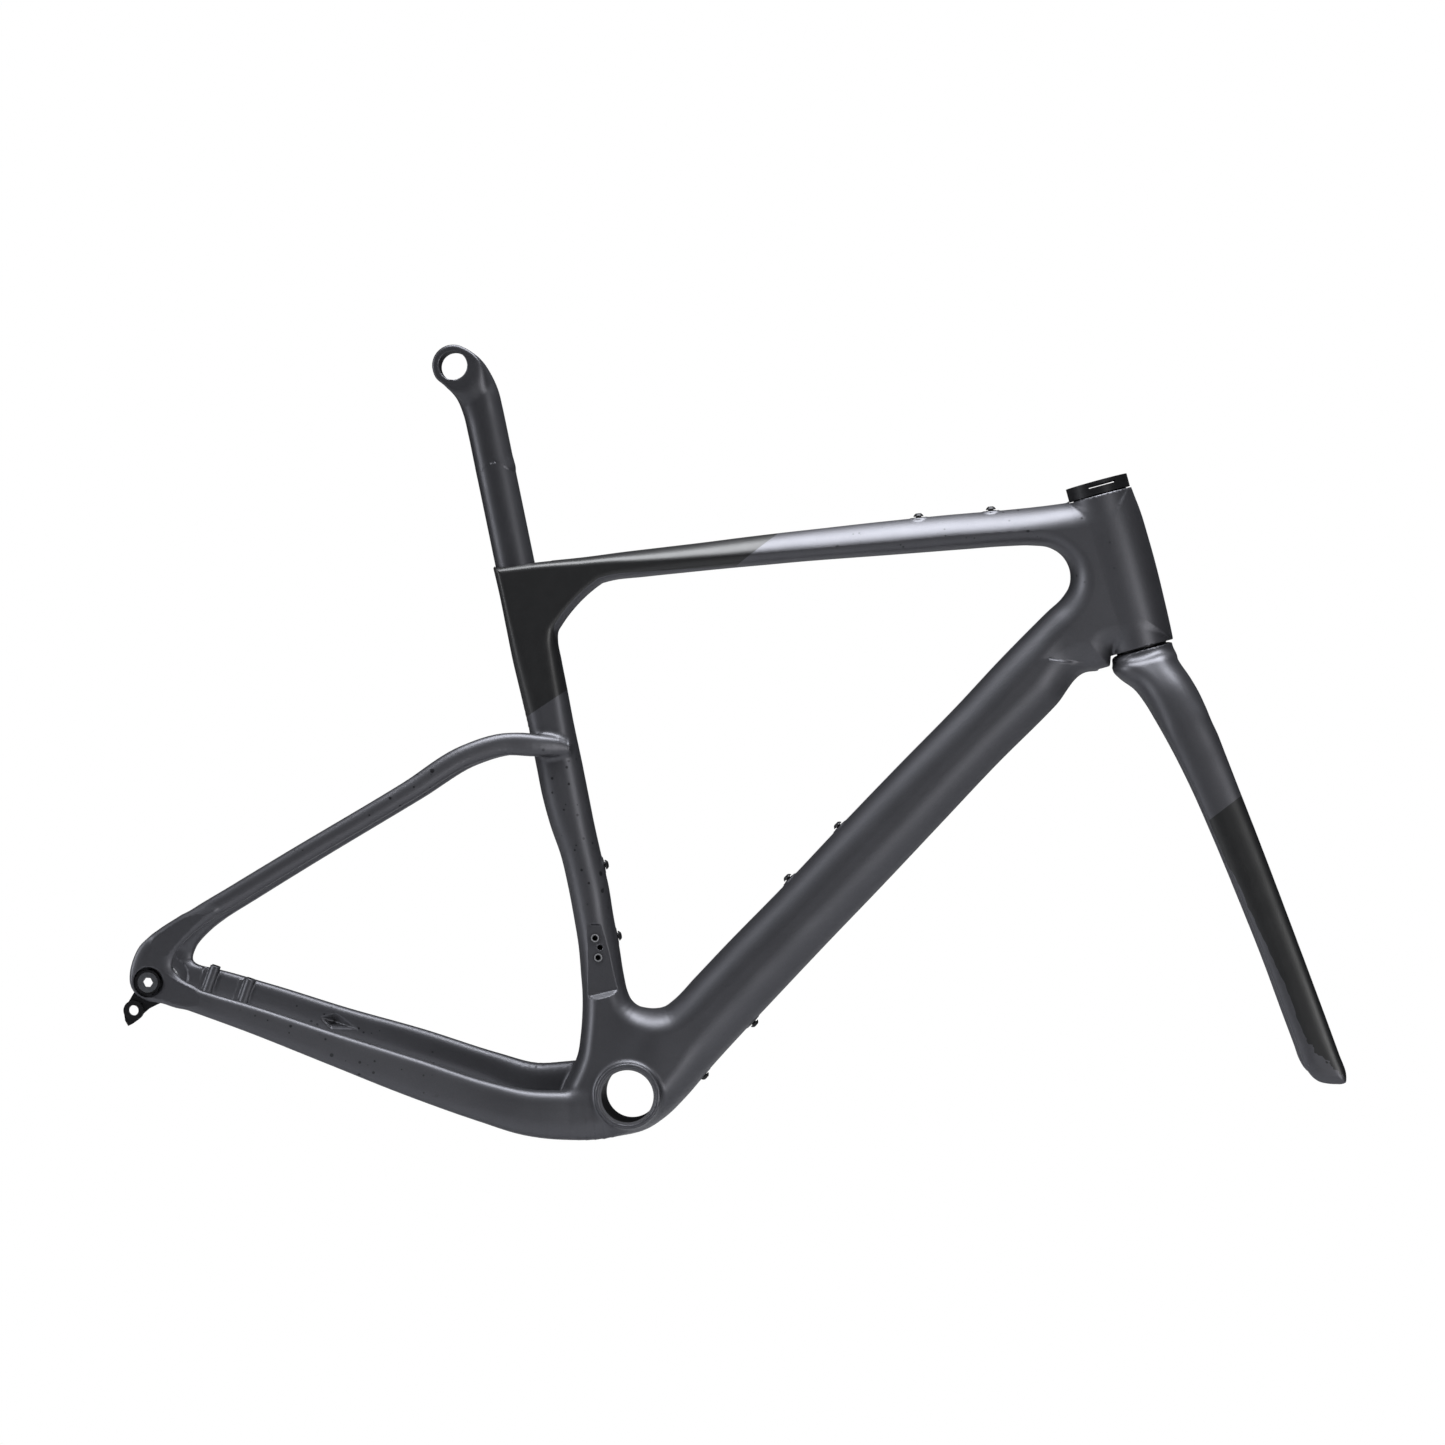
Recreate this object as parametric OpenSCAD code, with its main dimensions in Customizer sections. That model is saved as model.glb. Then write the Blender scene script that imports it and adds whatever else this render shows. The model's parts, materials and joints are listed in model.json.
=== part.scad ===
// Frameset of a gravel bicycle: moulded frame, fork, seatpost, headset and frame hardware.
// Origin: centre of the bottom bracket shell. +X forward, +Y to the left, +Z up, both axles level.

/* [Geometry] */
// Height of both axles above the bottom bracket centre
bb_drop = 73; // [70:1:76]
// Distance from bottom bracket to rear axle along X
rear_reach = 424; // [422:1:426]
// Distance from bottom bracket to front axle along X
front_reach = 601; // [599:1:603]
// Head angle from the ground, degrees
head_angle = 71; // [70.8:0.1:71.2]
// Seatpost angle from the ground, degrees
seat_angle = 74.5; // [74.3:0.1:74.7]

/* [Axle spacing] */
// Width between the rear dropouts
rear_hub_w = 142; // [142:1:148]
// Width between the fork tips
front_hub_w = 100; // [98:1:102]
// Diameter of both thru-axles
axle_d = 12; // [11.8:0.1:12]

/* [Bottom bracket] */
// Width of the bottom bracket shell
bb_w = 86.5; // [84:0.5:88]
// Inside diameter of the bottom bracket sleeve
bb_bore_d = 46; // [44:0.5:46]

/* [Head tube] */
// Length of the head tube
head_len = 139; // [136:1:141]
// Outside diameter of the headset bearings
bearing_od = 52; // [51:0.2:52]
// Inside diameter of the headset bearings
bearing_id = 40; // [39.8:0.1:40.2]
// Height of the headset bearings
bearing_h = 7; // [6.5:0.5:7]
// Steerer diameter at the stem
steerer_d = 28.6; // [28:0.2:28.6]

/* [Seatpost] */
// Length of the seatpost shaft below its head
post_len = 296; // [290:1:300]
// Fore-and-aft depth of the seatpost
post_depth = 34.8; // [34:0.2:34.8]
// Width of the seatpost
post_w = 27; // [26:0.5:27]
// Diameter of the saddle clamp bore
saddle_bore_d = 25.2; // [24:0.2:26]

/* [Moulded skin] */
// Number of facets round each moulded tube
facets = 20; // [16:4:20]
// Wall thickness of the moulded tubes
wall = 2; // [1.5:0.1:2.2]
// Running clearance on every sliding or turning fit, on the radius
clearance = 0.05; // [0.03:0.01:0.08]

/* [Hidden] */
$fn = 64;

carbon_grey = "#4c4c50";
carbon_black = "#1d1d1d";
post_black = "#303033";
alloy_black = "#222222";
alloy_grey = "#8c8f94";
steel = "#b8babd";

// Steering axis: a point on it at the bottom face of the head tube, then its local frame
steer_base = [424.5, 0, 423.5];
steer_lean = 90 - head_angle;
// Seatpost axis: the point where it leaves the frame
post_exit = [-131.6, 0, 457];
post_lean = 90 - seat_angle;
// Length of post inside the frame at rest, and how far its bore goes down
post_inserted = 140;
post_bore_len = 164;
// Everything that cuts through a part runs this far past it
past = 1;

// ---- Moulded skins -------------------------------------------------------------------
// A station is one cross-section: [rear x, rear z, front x, front z, centre y, width, squareness].
// Squareness 2 is an ellipse, larger is squarer.
function curl(v, n) = sign(v) * pow(abs(v), 2 / n);
function inset_station(s, w) =
  let (d = norm([s[2] - s[0], s[3] - s[1]]), u = [(s[2] - s[0]) / d, (s[3] - s[1]) / d] * w)
  [s[0] + u[0], s[1] + u[1], s[2] - u[0], s[3] - u[1], s[4], s[5] - 2 * w, s[6]];
function ring(s) = [
  for (i = [0 : facets - 1])
    let (t = 360 * i / facets, u = curl(cos(t), s[6]), v = curl(sin(t), s[6]))
    [(s[0] + s[2] + u * (s[2] - s[0])) / 2, s[4] + v * s[5] / 2, (s[1] + s[3] + u * (s[3] - s[1])) / 2]
];
function side_faces(rows, first, flip) = [
  for (r = [0 : rows - 2], i = [0 : facets - 1], half = [0, 1])
    let (
      j = (i + 1) % facets,
      a = first + r * facets + i, b = first + r * facets + j,
      c = a + facets, d = b + facets,
      tri = half == 0 ? [a, c, b] : [b, c, d]
    )
    flip ? [tri[0], tri[2], tri[1]] : tri
];
// A solid skin through its stations
module solid_skin(stations) {
  rows = len(stations);
  points = [for (s = stations) each ring(s)];
  start_cap = [for (i = [0 : facets - 1]) i];
  end_cap = [for (i = [facets - 1 : -1 : 0]) (rows - 1) * facets + i];
  polyhedron(points, concat([start_cap, end_cap], side_faces(rows, 0, false)));
}
// An open-ended tube of the given wall through its stations
module tube_skin(stations, wall) {
  rows = len(stations);
  total = rows * facets;
  inner = [for (s = stations) inset_station(s, wall)];
  points = concat([for (s = stations) each ring(s)], [for (s = inner) each ring(s)]);
  rims = [
    for (i = [0 : facets - 1], half = [0, 1])
      let (j = (i + 1) % facets)
      half == 0 ? [i, j, total + i] : [j, total + j, total + i]
  ];
  far = (rows - 1) * facets;
  far_rims = [
    for (i = [0 : facets - 1], half = [0, 1])
      let (j = (i + 1) % facets)
      half == 0 ? [far + i, far + total + i, far + j] : [far + j, far + total + i, far + total + j]
  ];
  polyhedron(points, concat(rims, far_rims, side_faces(rows, 0, false), side_faces(rows, total, true)));
}
function mirrored(stations) = [for (s = stations) [s[0], s[1], s[2], s[3], -s[4], s[5], s[6]]];

// ---- Stations shared by neighbouring parts, so that they meet face to face ---------------
top_rear = [-40, 452, -46, 477, 0, 36, 3.2];
top_front = [290, 504, 284, 535, 0, 44, 3.2];
down_low = [100, 66, 51, 107, 0, 60, 3];
down_high = [349, 365, 301, 405, 0, 50, 3];
seat_low = [-50, 103, -12, 103, 0, 46, 3.4];
seat_high = [-134.5, 396, -89.5, 396, 0, 37, 3.4];
chain_right_front = [-92, -40.5, -84, 0, -31, 25, 2.8];
chain_left_front = [-92, -16, -84, 20, 31, 25, 2.8];
chain_right_rear = [-389, 51, -384, 71, -73.5, 12, 3];
chain_left_rear = [-399, 60, -395, 84, 73.5, 12, 3];
stay_rear = [-388, 120, -400, 136, -73.5, 12, 2.8];
leg_top = [431, 373, 474, 389, 38, 25, 2.8];

// ---- Local frames ------------------------------------------------------------------------
module on_steerer() {
  translate(steer_base) rotate([0, -steer_lean, 0]) children();
}
// Z runs up the seatpost from the point where it leaves the frame
module on_post() {
  translate(post_exit) rotate([0, -post_lean, 0]) children();
}
// Z runs out of the part: lean is measured from vertical, forward positive
module at_boss(x, z, lean) {
  translate([x, 0, z]) rotate([0, lean, 0]) children();
}
module across(r, y0, y1) {
  translate([0, y1, 0]) rotate([90, 0, 0]) cylinder(r = r, h = y1 - y0);
}
module ring_solid(outer_r, inner_r, z0, z1) {
  difference() {
    translate([0, 0, z0]) cylinder(r = outer_r, h = z1 - z0);
    translate([0, 0, z0 - past]) cylinder(r = inner_r, h = z1 - z0 + 2 * past);
  }
}
// Oval prism along Z: two round ends and a flat middle
module oval_prism(depth, width, z0, z1) {
  off = (depth - width) / 2;
  for (side = [-1, 1]) {
    translate([side * off, 0, z0]) cylinder(d = width, h = z1 - z0);
  }
  translate([-off, -width / 2, z0]) cube([2 * off, width, z1 - z0]);
}

// ---- Bottle and accessory bosses -----------------------------------------------------------
boss_spacing = 64;
rivnut_r = 3.5;
rivnut_flange_r = 4.6;
rivnut_flange_h = 0.8;
rivnut_len = 10;
thread_r = 2.1;
bolt_r = 2.45;
// Each pair: [x, z of one boss, x, z of the other, lean]: points on the tube's outer face
top_bosses = [[221, 524.6, -9], [284.3, 534.8, -9]];
down_bosses = [[169.2, 247.9, -50.1], [128, 198.8, -50.1]];
under_bosses = [[104.3, 70.9, 129.5], [63.7, 21.6, 129.5]];
seat_bosses = [[-36.6, 200.4, 75.5], [-20.9, 138.4, 75.5]];
fd_bosses = [[-39, 136], [-35, 119]];
fd_cable_hole = [-34, 0, 128];
fd_face = 18.6;

module rivnut(bore_r) {
  difference() {
    union() {
      translate([0, 0, -rivnut_len]) cylinder(r = rivnut_r, h = rivnut_len + 0.01);
      cylinder(r = rivnut_flange_r, h = rivnut_flange_h);
    }
    translate([0, 0, -rivnut_len - past]) cylinder(r = bore_r, h = rivnut_len + 3);
  }
}
module rivnut_pair(bosses) {
  color(alloy_black) for (b = bosses) at_boss(b[0], b[1], b[2]) rivnut(bolt_r + clearance);
}
module rivnut_holes(bosses) {
  for (b = bosses) at_boss(b[0], b[1], b[2]) translate([0, 0, -20]) cylinder(r = rivnut_r, h = 20);
  for (b = bosses) at_boss(b[0], b[1], b[2]) cylinder(r = 5.2, h = 4);
}
bolt_head_r = 4.4;
bolt_head_h = 3.2;
bolt_stand = 1.6;
bolt_len = 12;
module boss_bolt() {
  difference() {
    union() {
      translate([0, 0, bolt_stand]) rotate_extrude() intersection() {
        translate([0, bolt_head_h - 4.9]) circle(r = 4.9);
        square([bolt_head_r, bolt_head_h]);
      }
      translate([0, 0, bolt_stand - bolt_len]) cylinder(r = bolt_r, h = bolt_len + 0.2);
    }
    translate([0, 0, bolt_stand + 1.2]) cylinder(d = 4.6, h = 4, $fn = 6);
  }
}
module bolt_pair(bosses) {
  color(alloy_black) for (b = bosses) at_boss(b[0], b[1], b[2]) boss_bolt();
}

// ---- Frame tubes -----------------------------------------------------------------------------
module top_tube() {
  color(carbon_grey) difference() {
    tube_skin([
      top_rear,
      [53, 469, 48, 494.5, 0, 36, 3.2],
      [158, 486, 153, 514, 0, 38, 3.2],
      [229, 495.5, 224, 525.5, 0, 40, 3.2],
      top_front
    ], wall);
    rivnut_holes(top_bosses);
  }
}
module down_tube() {
  color(carbon_grey) difference() {
    tube_skin([down_low, [219, 208, 170, 249, 0, 52, 3], down_high], wall);
    rivnut_holes(down_bosses);
    rivnut_holes([under_bosses[0]]);
  }
}
seat_stations = [
  seat_low,
  [-54.5, 129, -18, 129, 0, 40, 3.4],
  [-61, 156, -25, 156, 0, 38, 3.4],
  [-76, 208, -38.5, 208, 0, 37, 3.4],
  [-87, 240, -48, 240, 0, 37, 3.4],
  [-98, 270, -57, 270, 0, 37, 3.4],
  [-112.6, 318, -70, 318, 0, 37, 3.4],
  seat_high
];
module seat_tube() {
  color(carbon_grey) difference() {
    solid_skin(seat_stations);
    post_bore();
    rivnut_holes(seat_bosses);
    for (b = fd_bosses) translate([b[0], 0, b[1]]) {
      across(rivnut_r, -30, 0);
      across(rivnut_flange_r, -30, -fd_face);
    }
    translate(fd_cable_hole) across(3, -30, 0);
  }
}
module post_bore() {
  on_post() oval_prism(post_depth + 2 * clearance, post_w + 2 * clearance, -post_bore_len, 40);
}
lug_w = 37;
module plate(y0, y1, outline) {
  translate([0, y1, 0]) rotate([90, 0, 0]) linear_extrude(y1 - y0) polygon(outline);
}
module seat_lug() {
  color(carbon_black) difference() {
    plate(-lug_w / 2, lug_w / 2, [
      [-134.5, 396], [-89.5, 396], [-92, 405], [-60, 448], [-40, 452], [-46, 477], [-72, 471.5],
      [-107, 465.5], [-151.4, 456.5]
    ]);
    post_bore();
    wedge_space();
  }
}

// ---- Seatpost and its clamp ------------------------------------------------------------------
post_head = [-198, 0, 632];
head_outer_r = 18.6;
head_w = 36;
module seatpost() {
  straight = post_len - post_inserted;
  color(post_black) difference() {
    union() {
      difference() {
        on_post() oval_prism(post_depth, post_w, -post_inserted, straight - 11);
        on_post() oval_prism(post_depth - 6, post_w - 6, -post_inserted - past, straight - 40);
      }
      solid_skin([
        [-187.1, 589.2, -153.3, 598.6, 0, post_w, 2.3],
        [-187.5, 594, -154.5, 606, 0, 27.4, 2.4],
        [-195, 606, -157, 618, 0, 29, 2.6],
        [-207, 619, -163, 631, 0, 32, 2.8],
        [-213, 626, -178, 646, 0, 34, 3],
        [-209, 634, -190, 649, 0, 34, 3]
      ]);
      translate(post_head) across(head_outer_r, -head_w / 2, head_w / 2);
    }
    translate(post_head) across(saddle_bore_d / 2, -head_w, head_w);
    for (side = [-1, 1]) {
      translate(post_head + [0, side * head_w / 2, 0]) across(14.9, -3, 3);
    }
  }
}
// The wedge clamp stands in front of the post, in a shaft open at the top of the lug
wedge_w = 18;
wedge_depth = 15;
wedge_top = 8;
wedge_h = 26;
module wedge_space() {
  on_post() translate([post_depth / 2 - 3, -wedge_w / 2, -wedge_top - wedge_h])
    cube([wedge_depth + 3, wedge_w, 80]);
}
wedge_back = 0.1;
wedge_angle = 7;
module wedge_half_plan(z0, z1, back, front0, front1) {
  rotate([90, 0, 0]) linear_extrude(wedge_w - 0.4, center = true)
    polygon([[back, z0], [front0, z0], [front1, z1], [back, z1]]);
}
module wedge_shoe() {
  low = -wedge_top - wedge_h;
  back = post_depth / 2 + wedge_back;
  color(alloy_grey) on_post() wedge_half_plan(low + 0.2, -wedge_top, back, back + 3, back + 6.5);
}
module wedge_block() {
  low = -wedge_top - wedge_h;
  back = post_depth / 2 + wedge_back;
  front = post_depth / 2 + wedge_depth - 0.1;
  color(alloy_grey) on_post() difference() {
    rotate([90, 0, 0]) linear_extrude(wedge_w - 0.4, center = true)
      polygon([[back + 3.1, low + 0.2], [front, low + 0.2], [front, -wedge_top], [back + 6.6, -wedge_top]]);
    translate([back + 10.6, 0, low - past]) cylinder(r = 2.5, h = wedge_h + 3);
  }
}
module wedge_bolt() {
  back = post_depth / 2 + wedge_back;
  color(alloy_black) on_post() translate([back + 10.6, 0, -wedge_top]) difference() {
    union() {
      translate([0, 0, 0.1]) cylinder(r = 3.9, h = 5);
      translate([0, 0, -22]) cylinder(r = 2.45, h = 22.3);
    }
    translate([0, 0, 2.4]) cylinder(d = 4.6, h = 4, $fn = 6);
  }
}

// ---- Bottom bracket ----------------------------------------------------------------------------
sleeve_wall = 2;
bb_core_w = 62;
prong_in = 18.5;
prong_out = 43.2;
module bb_shell() {
  face = bb_w / 2;
  color(carbon_grey) difference() {
    union() {
      across(31, -face, face);
      plate(-bb_core_w / 2, bb_core_w / 2, [
        [-50, 103], [-12, 103], [-7, 88], [2, 78], [24, 77], [51, 107], [100, 66], [70, 28], [48, 0],
        [33, -17], [16, -31], [-18, -38], [-53, -41.5], [-58, -20], [-54, 14], [-48, 46], [-47, 76]
      ]);
      plate(-prong_out, -prong_in, [[-92, -40.5], [-53, -43], [-12, -38], [-12, 12], [-50, 4], [-84, 0]]);
      plate(prong_in, prong_out, [[-92, -16], [-53, -28], [-12, -36], [-12, 26], [-50, 23], [-84, 20]]);
    }
    across(bb_bore_d / 2 + sleeve_wall, -60, 60);
    rivnut_holes([under_bosses[1]]);
  }
}
module bb_sleeve() {
  color(alloy_grey) difference() {
    across(bb_bore_d / 2 + sleeve_wall, -bb_w / 2, bb_w / 2);
    across(bb_bore_d / 2, -bb_w, bb_w);
  }
}

// ---- Stays ---------------------------------------------------------------------------------------
module chainstay_right() {
  color(carbon_grey) tube_skin([
    chain_right_front,
    [-129, -31.5, -120, 5, -33, 20, 2.8],
    [-196, -12, -187, 21, -42, 17, 2.8],
    [-266, 11.5, -258, 39, -54, 16, 2.8],
    [-336, 35, -329, 58, -66, 14, 2.8],
    chain_right_rear
  ], wall);
}
flat_mount_spacing = 34;
flat_mount_x = -352;
flat_mount_z = 66;
stay_pitch = 15.5;
// Z runs down out of the left chainstay, square to it
module at_flat_mount(i) {
  translate([flat_mount_x, 68.3, flat_mount_z]) rotate([0, stay_pitch, 0])
    translate([-i * flat_mount_spacing, i * 4.6, 0]) children();
}
flat_sleeve_r = 4;
module chainstay_left() {
  color(carbon_grey) difference() {
    tube_skin([
      chain_left_front,
      [-129, -2, -120, 26, 34, 20, 2.8],
      [-196, 14, -188, 42, 43, 18, 2.8],
      [-266, 30, -259, 56, 55, 17, 2.8],
      [-336, 47, -330, 72, 66, 15, 2.8],
      chain_left_rear
    ], wall);
    for (i = [0, 1]) at_flat_mount(i) translate([0, 0, -40]) cylinder(r = flat_sleeve_r, h = 80);
  }
}
module flat_mount_sleeves() {
  color(alloy_black) for (i = [0, 1]) at_flat_mount(i) ring_solid(flat_sleeve_r, 2.7, -13.5, 10.5);
}
stay_stations = [
  stay_rear,
  [-306, 178, -316, 193, -60, 14, 2.8],
  [-205, 247.5, -214.5, 262.5, -43, 14.5, 2.8],
  [-158, 280.5, -165, 298.5, -33, 15, 2.8],
  [-128, 291.5, -131, 311, -26.5, 15.5, 2.8],
  [-98, 292, -98, 311.5, -24.5, 12, 2.8],
  [-76, 297.5, -76, 303, -21.2, 5, 2.2]
];
module stay_solid(side) {
  stations = side < 0 ? stay_stations : mirrored(stay_stations);
  difference() {
    solid_skin(stations);
    solid_skin(seat_stations);
  }
}
module seatstay_right() {
  color(carbon_grey) stay_solid(-1);
}
module seatstay_left() {
  color(carbon_grey) stay_solid(1);
}

// ---- Dropouts and rear axle hardware -----------------------------------------------------------------
rear_axle = [-rear_reach, 0, bb_drop];
drop_inner = rear_hub_w / 2;
drop_outer = drop_inner + 8.5;
drop_bore_r = 8.5;
hanger_plate = 3;
hanger_clear_r = 13;
module dropout_blank(chain, notch, notch_r) {
  rotate([90, 0, 0]) linear_extrude(drop_outer - drop_inner, center = true) difference() {
    polygon([
      [-388, 120], [-400, 136], [-414, 125], [-427, 114], [-434, 105], [-439, 92], [-441, 80], [-440, 70],
      [-435, 62], [-426, 57], [-414, 57], [chain[0], chain[1]], [chain[2], chain[3]]
    ]);
    translate(notch) circle(r = notch_r);
  }
}
module dropout_right() {
  color(carbon_grey) difference() {
    translate([0, -(drop_inner + drop_outer) / 2, 0]) dropout_blank(chain_right_rear, [-383, 96], 22.5);
    translate(rear_axle) across(drop_bore_r, -90, -60);
    translate(rear_axle) across(hanger_clear_r + 0.1, -drop_inner - hanger_plate, -60);
    translate([rear_axle[0] - 13.1, -drop_inner - hanger_plate, 20]) cube([26.2, 20, bb_drop - 20]);
  }
}
module dropout_left() {
  color(carbon_grey) difference() {
    translate([0, (drop_inner + drop_outer) / 2, 0]) dropout_blank(chain_left_rear, [-391, 103], 18);
    translate(rear_axle) across(drop_bore_r, 60, 90);
  }
}
module rear_axle_insert() {
  color(alloy_black) translate(rear_axle) difference() {
    across(drop_bore_r, drop_inner, drop_outer + 0.8);
    across(axle_d / 2 + clearance, 60, 90);
  }
}
hanger_hole = [-435.5, 0, 47.5];
hanger_thread_r = 4.5;
boss_end = drop_outer - 0.5;
module derailleur_hanger() {
  y_out = -drop_inner - hanger_plate;
  color(alloy_black) difference() {
    union() {
      translate(rear_axle) across(hanger_clear_r, y_out, -drop_inner);
      translate(rear_axle) across(drop_bore_r - 0.05, -boss_end, -drop_inner);
      translate(hanger_hole) across(8.8, y_out - 3.5, y_out + 4);
      translate([0, y_out + 1.5, 0]) rotate([90, 0, 0]) linear_extrude(hanger_plate, center = true)
        polygon([[-435, 66], [-443, 50], [-432, 40], [-422, 50], [-411, 56.4], [-413, 66]]);
      translate([0, y_out + 1.5, 0]) rotate([90, 0, 0]) linear_extrude(5, center = true)
        polygon([[-444, 45], [-442.5, 38], [-439.5, 33.5], [-436, 35.5], [-430, 40.5]]);
    }
    translate(rear_axle) across(axle_d / 2 - 0.4, -90, -60);
    translate(rear_axle) across(6.6, -90, y_out - 1);
    translate(hanger_hole) across(hanger_thread_r, -90, -60);
  }
}
module hanger_washer() {
  color(alloy_black) translate(rear_axle) difference() {
    across(10.8, -drop_outer - 1.2, -drop_outer);
    across(7, -90, -60);
  }
}
module hanger_bolt() {
  flange = -drop_outer - 1.2;
  color(steel) translate(rear_axle) difference() {
    union() {
      across(8.8, flange - 1.6, flange);
      across(6.55, flange - 0.1, -drop_inner - hanger_plate - 1.1);
    }
    translate([0, -68, 0]) rotate([90, 0, 0]) cylinder(d = 9.24, h = 20, $fn = 6);
  }
}

// ---- Head tube and headset -------------------------------------------------------------------------------
seat_depth = bearing_h + 1;
pocket_r = 31;
chin_drop = 8.5;
head_r = 30;
gusset_w = 50;
// Its edges on the top and down tubes stand 0.05 mm off them
module head_tube() {
  color(carbon_grey) difference() {
    union() {
      on_steerer() cylinder(r = head_r, h = head_len);
      plate(-gusset_w / 2, gusset_w / 2, [
        [284.05, 535], [290.05, 504], [322, 507.5], [346, 501], [355, 492], [358, 480], [352, 466], [325, 433.5],
        [301.03, 405.04], [349.03, 365.04], [377, 398.5], [389, 401], [402, 414], [424, 424], [415, 460], [395, 520],
        [385, 560], [352, 547], [318, 539.5]
      ]);
    }
    on_steerer() translate([0, 0, -80]) cylinder(r = 42, h = 80 - chin_drop);
    on_steerer() translate([0, 0, -chin_drop - past]) cylinder(r = pocket_r, h = chin_drop + past);
    on_steerer() translate([0, 0, -past]) cylinder(d = bearing_od - 7, h = head_len + 2 * past);
    on_steerer() translate([0, 0, -past]) cylinder(d = bearing_od, h = seat_depth + past);
    on_steerer() translate([0, 0, head_len - seat_depth]) cylinder(d = bearing_od, h = seat_depth + past);
    on_steerer() translate([0, 0, head_len]) cylinder(r = 60, h = 40);
    rivnut_holes([top_bosses[1]]);
  }
}
race_wall = 1.6;
ball_r = 1.6;
ball_count = 20;
module outer_race(z0) {
  on_steerer() ring_solid(bearing_od / 2, bearing_od / 2 - race_wall, z0, z0 + bearing_h);
}
module inner_race(z0) {
  on_steerer() ring_solid(bearing_id / 2 + race_wall, bearing_id / 2, z0, z0 + bearing_h);
}
module balls(z0) {
  pitch = (bearing_od + bearing_id) / 4;
  on_steerer() for (i = [0 : ball_count - 1]) {
    rotate([0, 0, 360 * i / ball_count]) translate([pitch, 0, z0 + bearing_h / 2]) sphere(r = ball_r - 0.25, $fn = 16);
  }
}
lower_z = 0.8;
upper_z = head_len - bearing_h - 0.6;
module upper_bearing_outer_race() {
  color(steel) outer_race(upper_z);
}
module upper_bearing_inner_race() {
  color(steel) inner_race(upper_z);
}
module upper_bearing_balls() {
  color(steel) balls(upper_z);
}
module lower_bearing_outer_race() {
  color(steel) outer_race(lower_z);
}
module lower_bearing_inner_race() {
  color(steel) inner_race(lower_z);
}
module lower_bearing_balls() {
  color(steel) balls(lower_z);
}
crown_gap = 1;
module crown_race() {
  color(alloy_black) on_steerer() union() {
    ring_solid(22.5, 17.5, -crown_gap, lower_z);
    ring_solid(bearing_id / 2, 17.5, -crown_gap, lower_z + 3);
  }
}
module compression_ring() {
  color(alloy_black) on_steerer() union() {
    ring_solid(bearing_id / 2, steerer_d / 2, upper_z + 2, head_len + 1.2);
    ring_solid(24, steerer_d / 2, upper_z + bearing_h, head_len + 1.2);
  }
}
cover_r = 27.7;
cover_h = 11.5;
cover_z = head_len + 1.3;
slot_len = 24;
slot_h = 2.2;
module headset_cover() {
  color(alloy_black) on_steerer() difference() {
    translate([0, 0, cover_z]) cylinder(r = cover_r, h = cover_h);
    translate([0, 0, cover_z - past]) cylinder(r = cover_r - 2.5, h = cover_h - 2.5 + past);
    translate([0, 0, cover_z]) cylinder(r = steerer_d / 2 + 0.4, h = cover_h + past);
    translate([3.6, 0, cover_z + cover_h - 4.2]) cube([slot_len, 80, slot_h], center = true);
    translate([18.5, 0, cover_z]) cylinder(r = 5, h = cover_h + past);
  }
}
steerer_top = head_len + 5;
module steerer() {
  color(carbon_black) on_steerer() rotate_extrude() polygon([
    [11.8, -30], [17.5, -30], [17.5, 6], [steerer_d / 2, 40], [steerer_d / 2, steerer_top], [11.8, steerer_top]
  ]);
}
plug_top = steerer_top + 1.5;
module steerer_plug() {
  color(alloy_black) on_steerer() difference() {
    union() {
      translate([0, 0, steerer_top - 36]) cylinder(r = 11.75, h = 36.5);
      translate([0, 0, steerer_top]) cylinder(r = 13.6, h = 1.5);
    }
    translate([0, 0, steerer_top - 40]) cylinder(r = 3, h = 50);
    translate([0, 0, steerer_top - 1]) cylinder(r = 5, h = 4);
  }
}
module steerer_plug_bolt() {
  color(steel) on_steerer() difference() {
    union() {
      translate([0, 0, steerer_top - 30]) cylinder(r = 2.95, h = 29.5);
      translate([0, 0, steerer_top - 1]) cylinder(r = 4.9, h = 3.4);
    }
    translate([0, 0, steerer_top - 0.2]) cylinder(d = 5.8, h = 5, $fn = 6);
  }
}

// ---- Fork ---------------------------------------------------------------------------------------------------
leg_top_left = leg_top;
leg_top_right = [leg_top[0], leg_top[1], leg_top[2], leg_top[3], -leg_top[4], leg_top[5], leg_top[6]];
module fork_crown() {
  color(carbon_grey) difference() {
    union() {
      on_steerer() translate([0, 0, -18]) cylinder(r = 28, h = 18 - crown_gap);
      for (leg = [leg_top_left, leg_top_right]) {
        side = sign(leg[4]);
        solid_skin([leg, [417, 388, 468, 402, side * 33, 30, 2.8], [404, 398, 459, 412, side * 25, 36, 2.8],
          [400.5, 403.5, 453, 420, side * 14, 30, 2.6]]);
      }
      solid_skin([[401, 398.5, 458, 414, 0, 64, 3], [395, 402, 452, 421, 0, 50, 2.6]]);
    }
    on_steerer() translate([0, 0, -crown_gap]) cylinder(r = 80, h = 40);
    on_steerer() difference() {
      translate([0, 0, -chin_drop - 1]) cylinder(r = 80, h = 40);
      translate([0, 0, -chin_drop - 2]) cylinder(r = 29, h = 50);
    }
    on_steerer() translate([0, 0, -30]) cylinder(r = 17.5, h = 40);
    translate([430, 0, 360]) rotate([0, 90 - 25, 0]) cylinder(r = 25.5, h = 200, center = true);
  }
}
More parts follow.
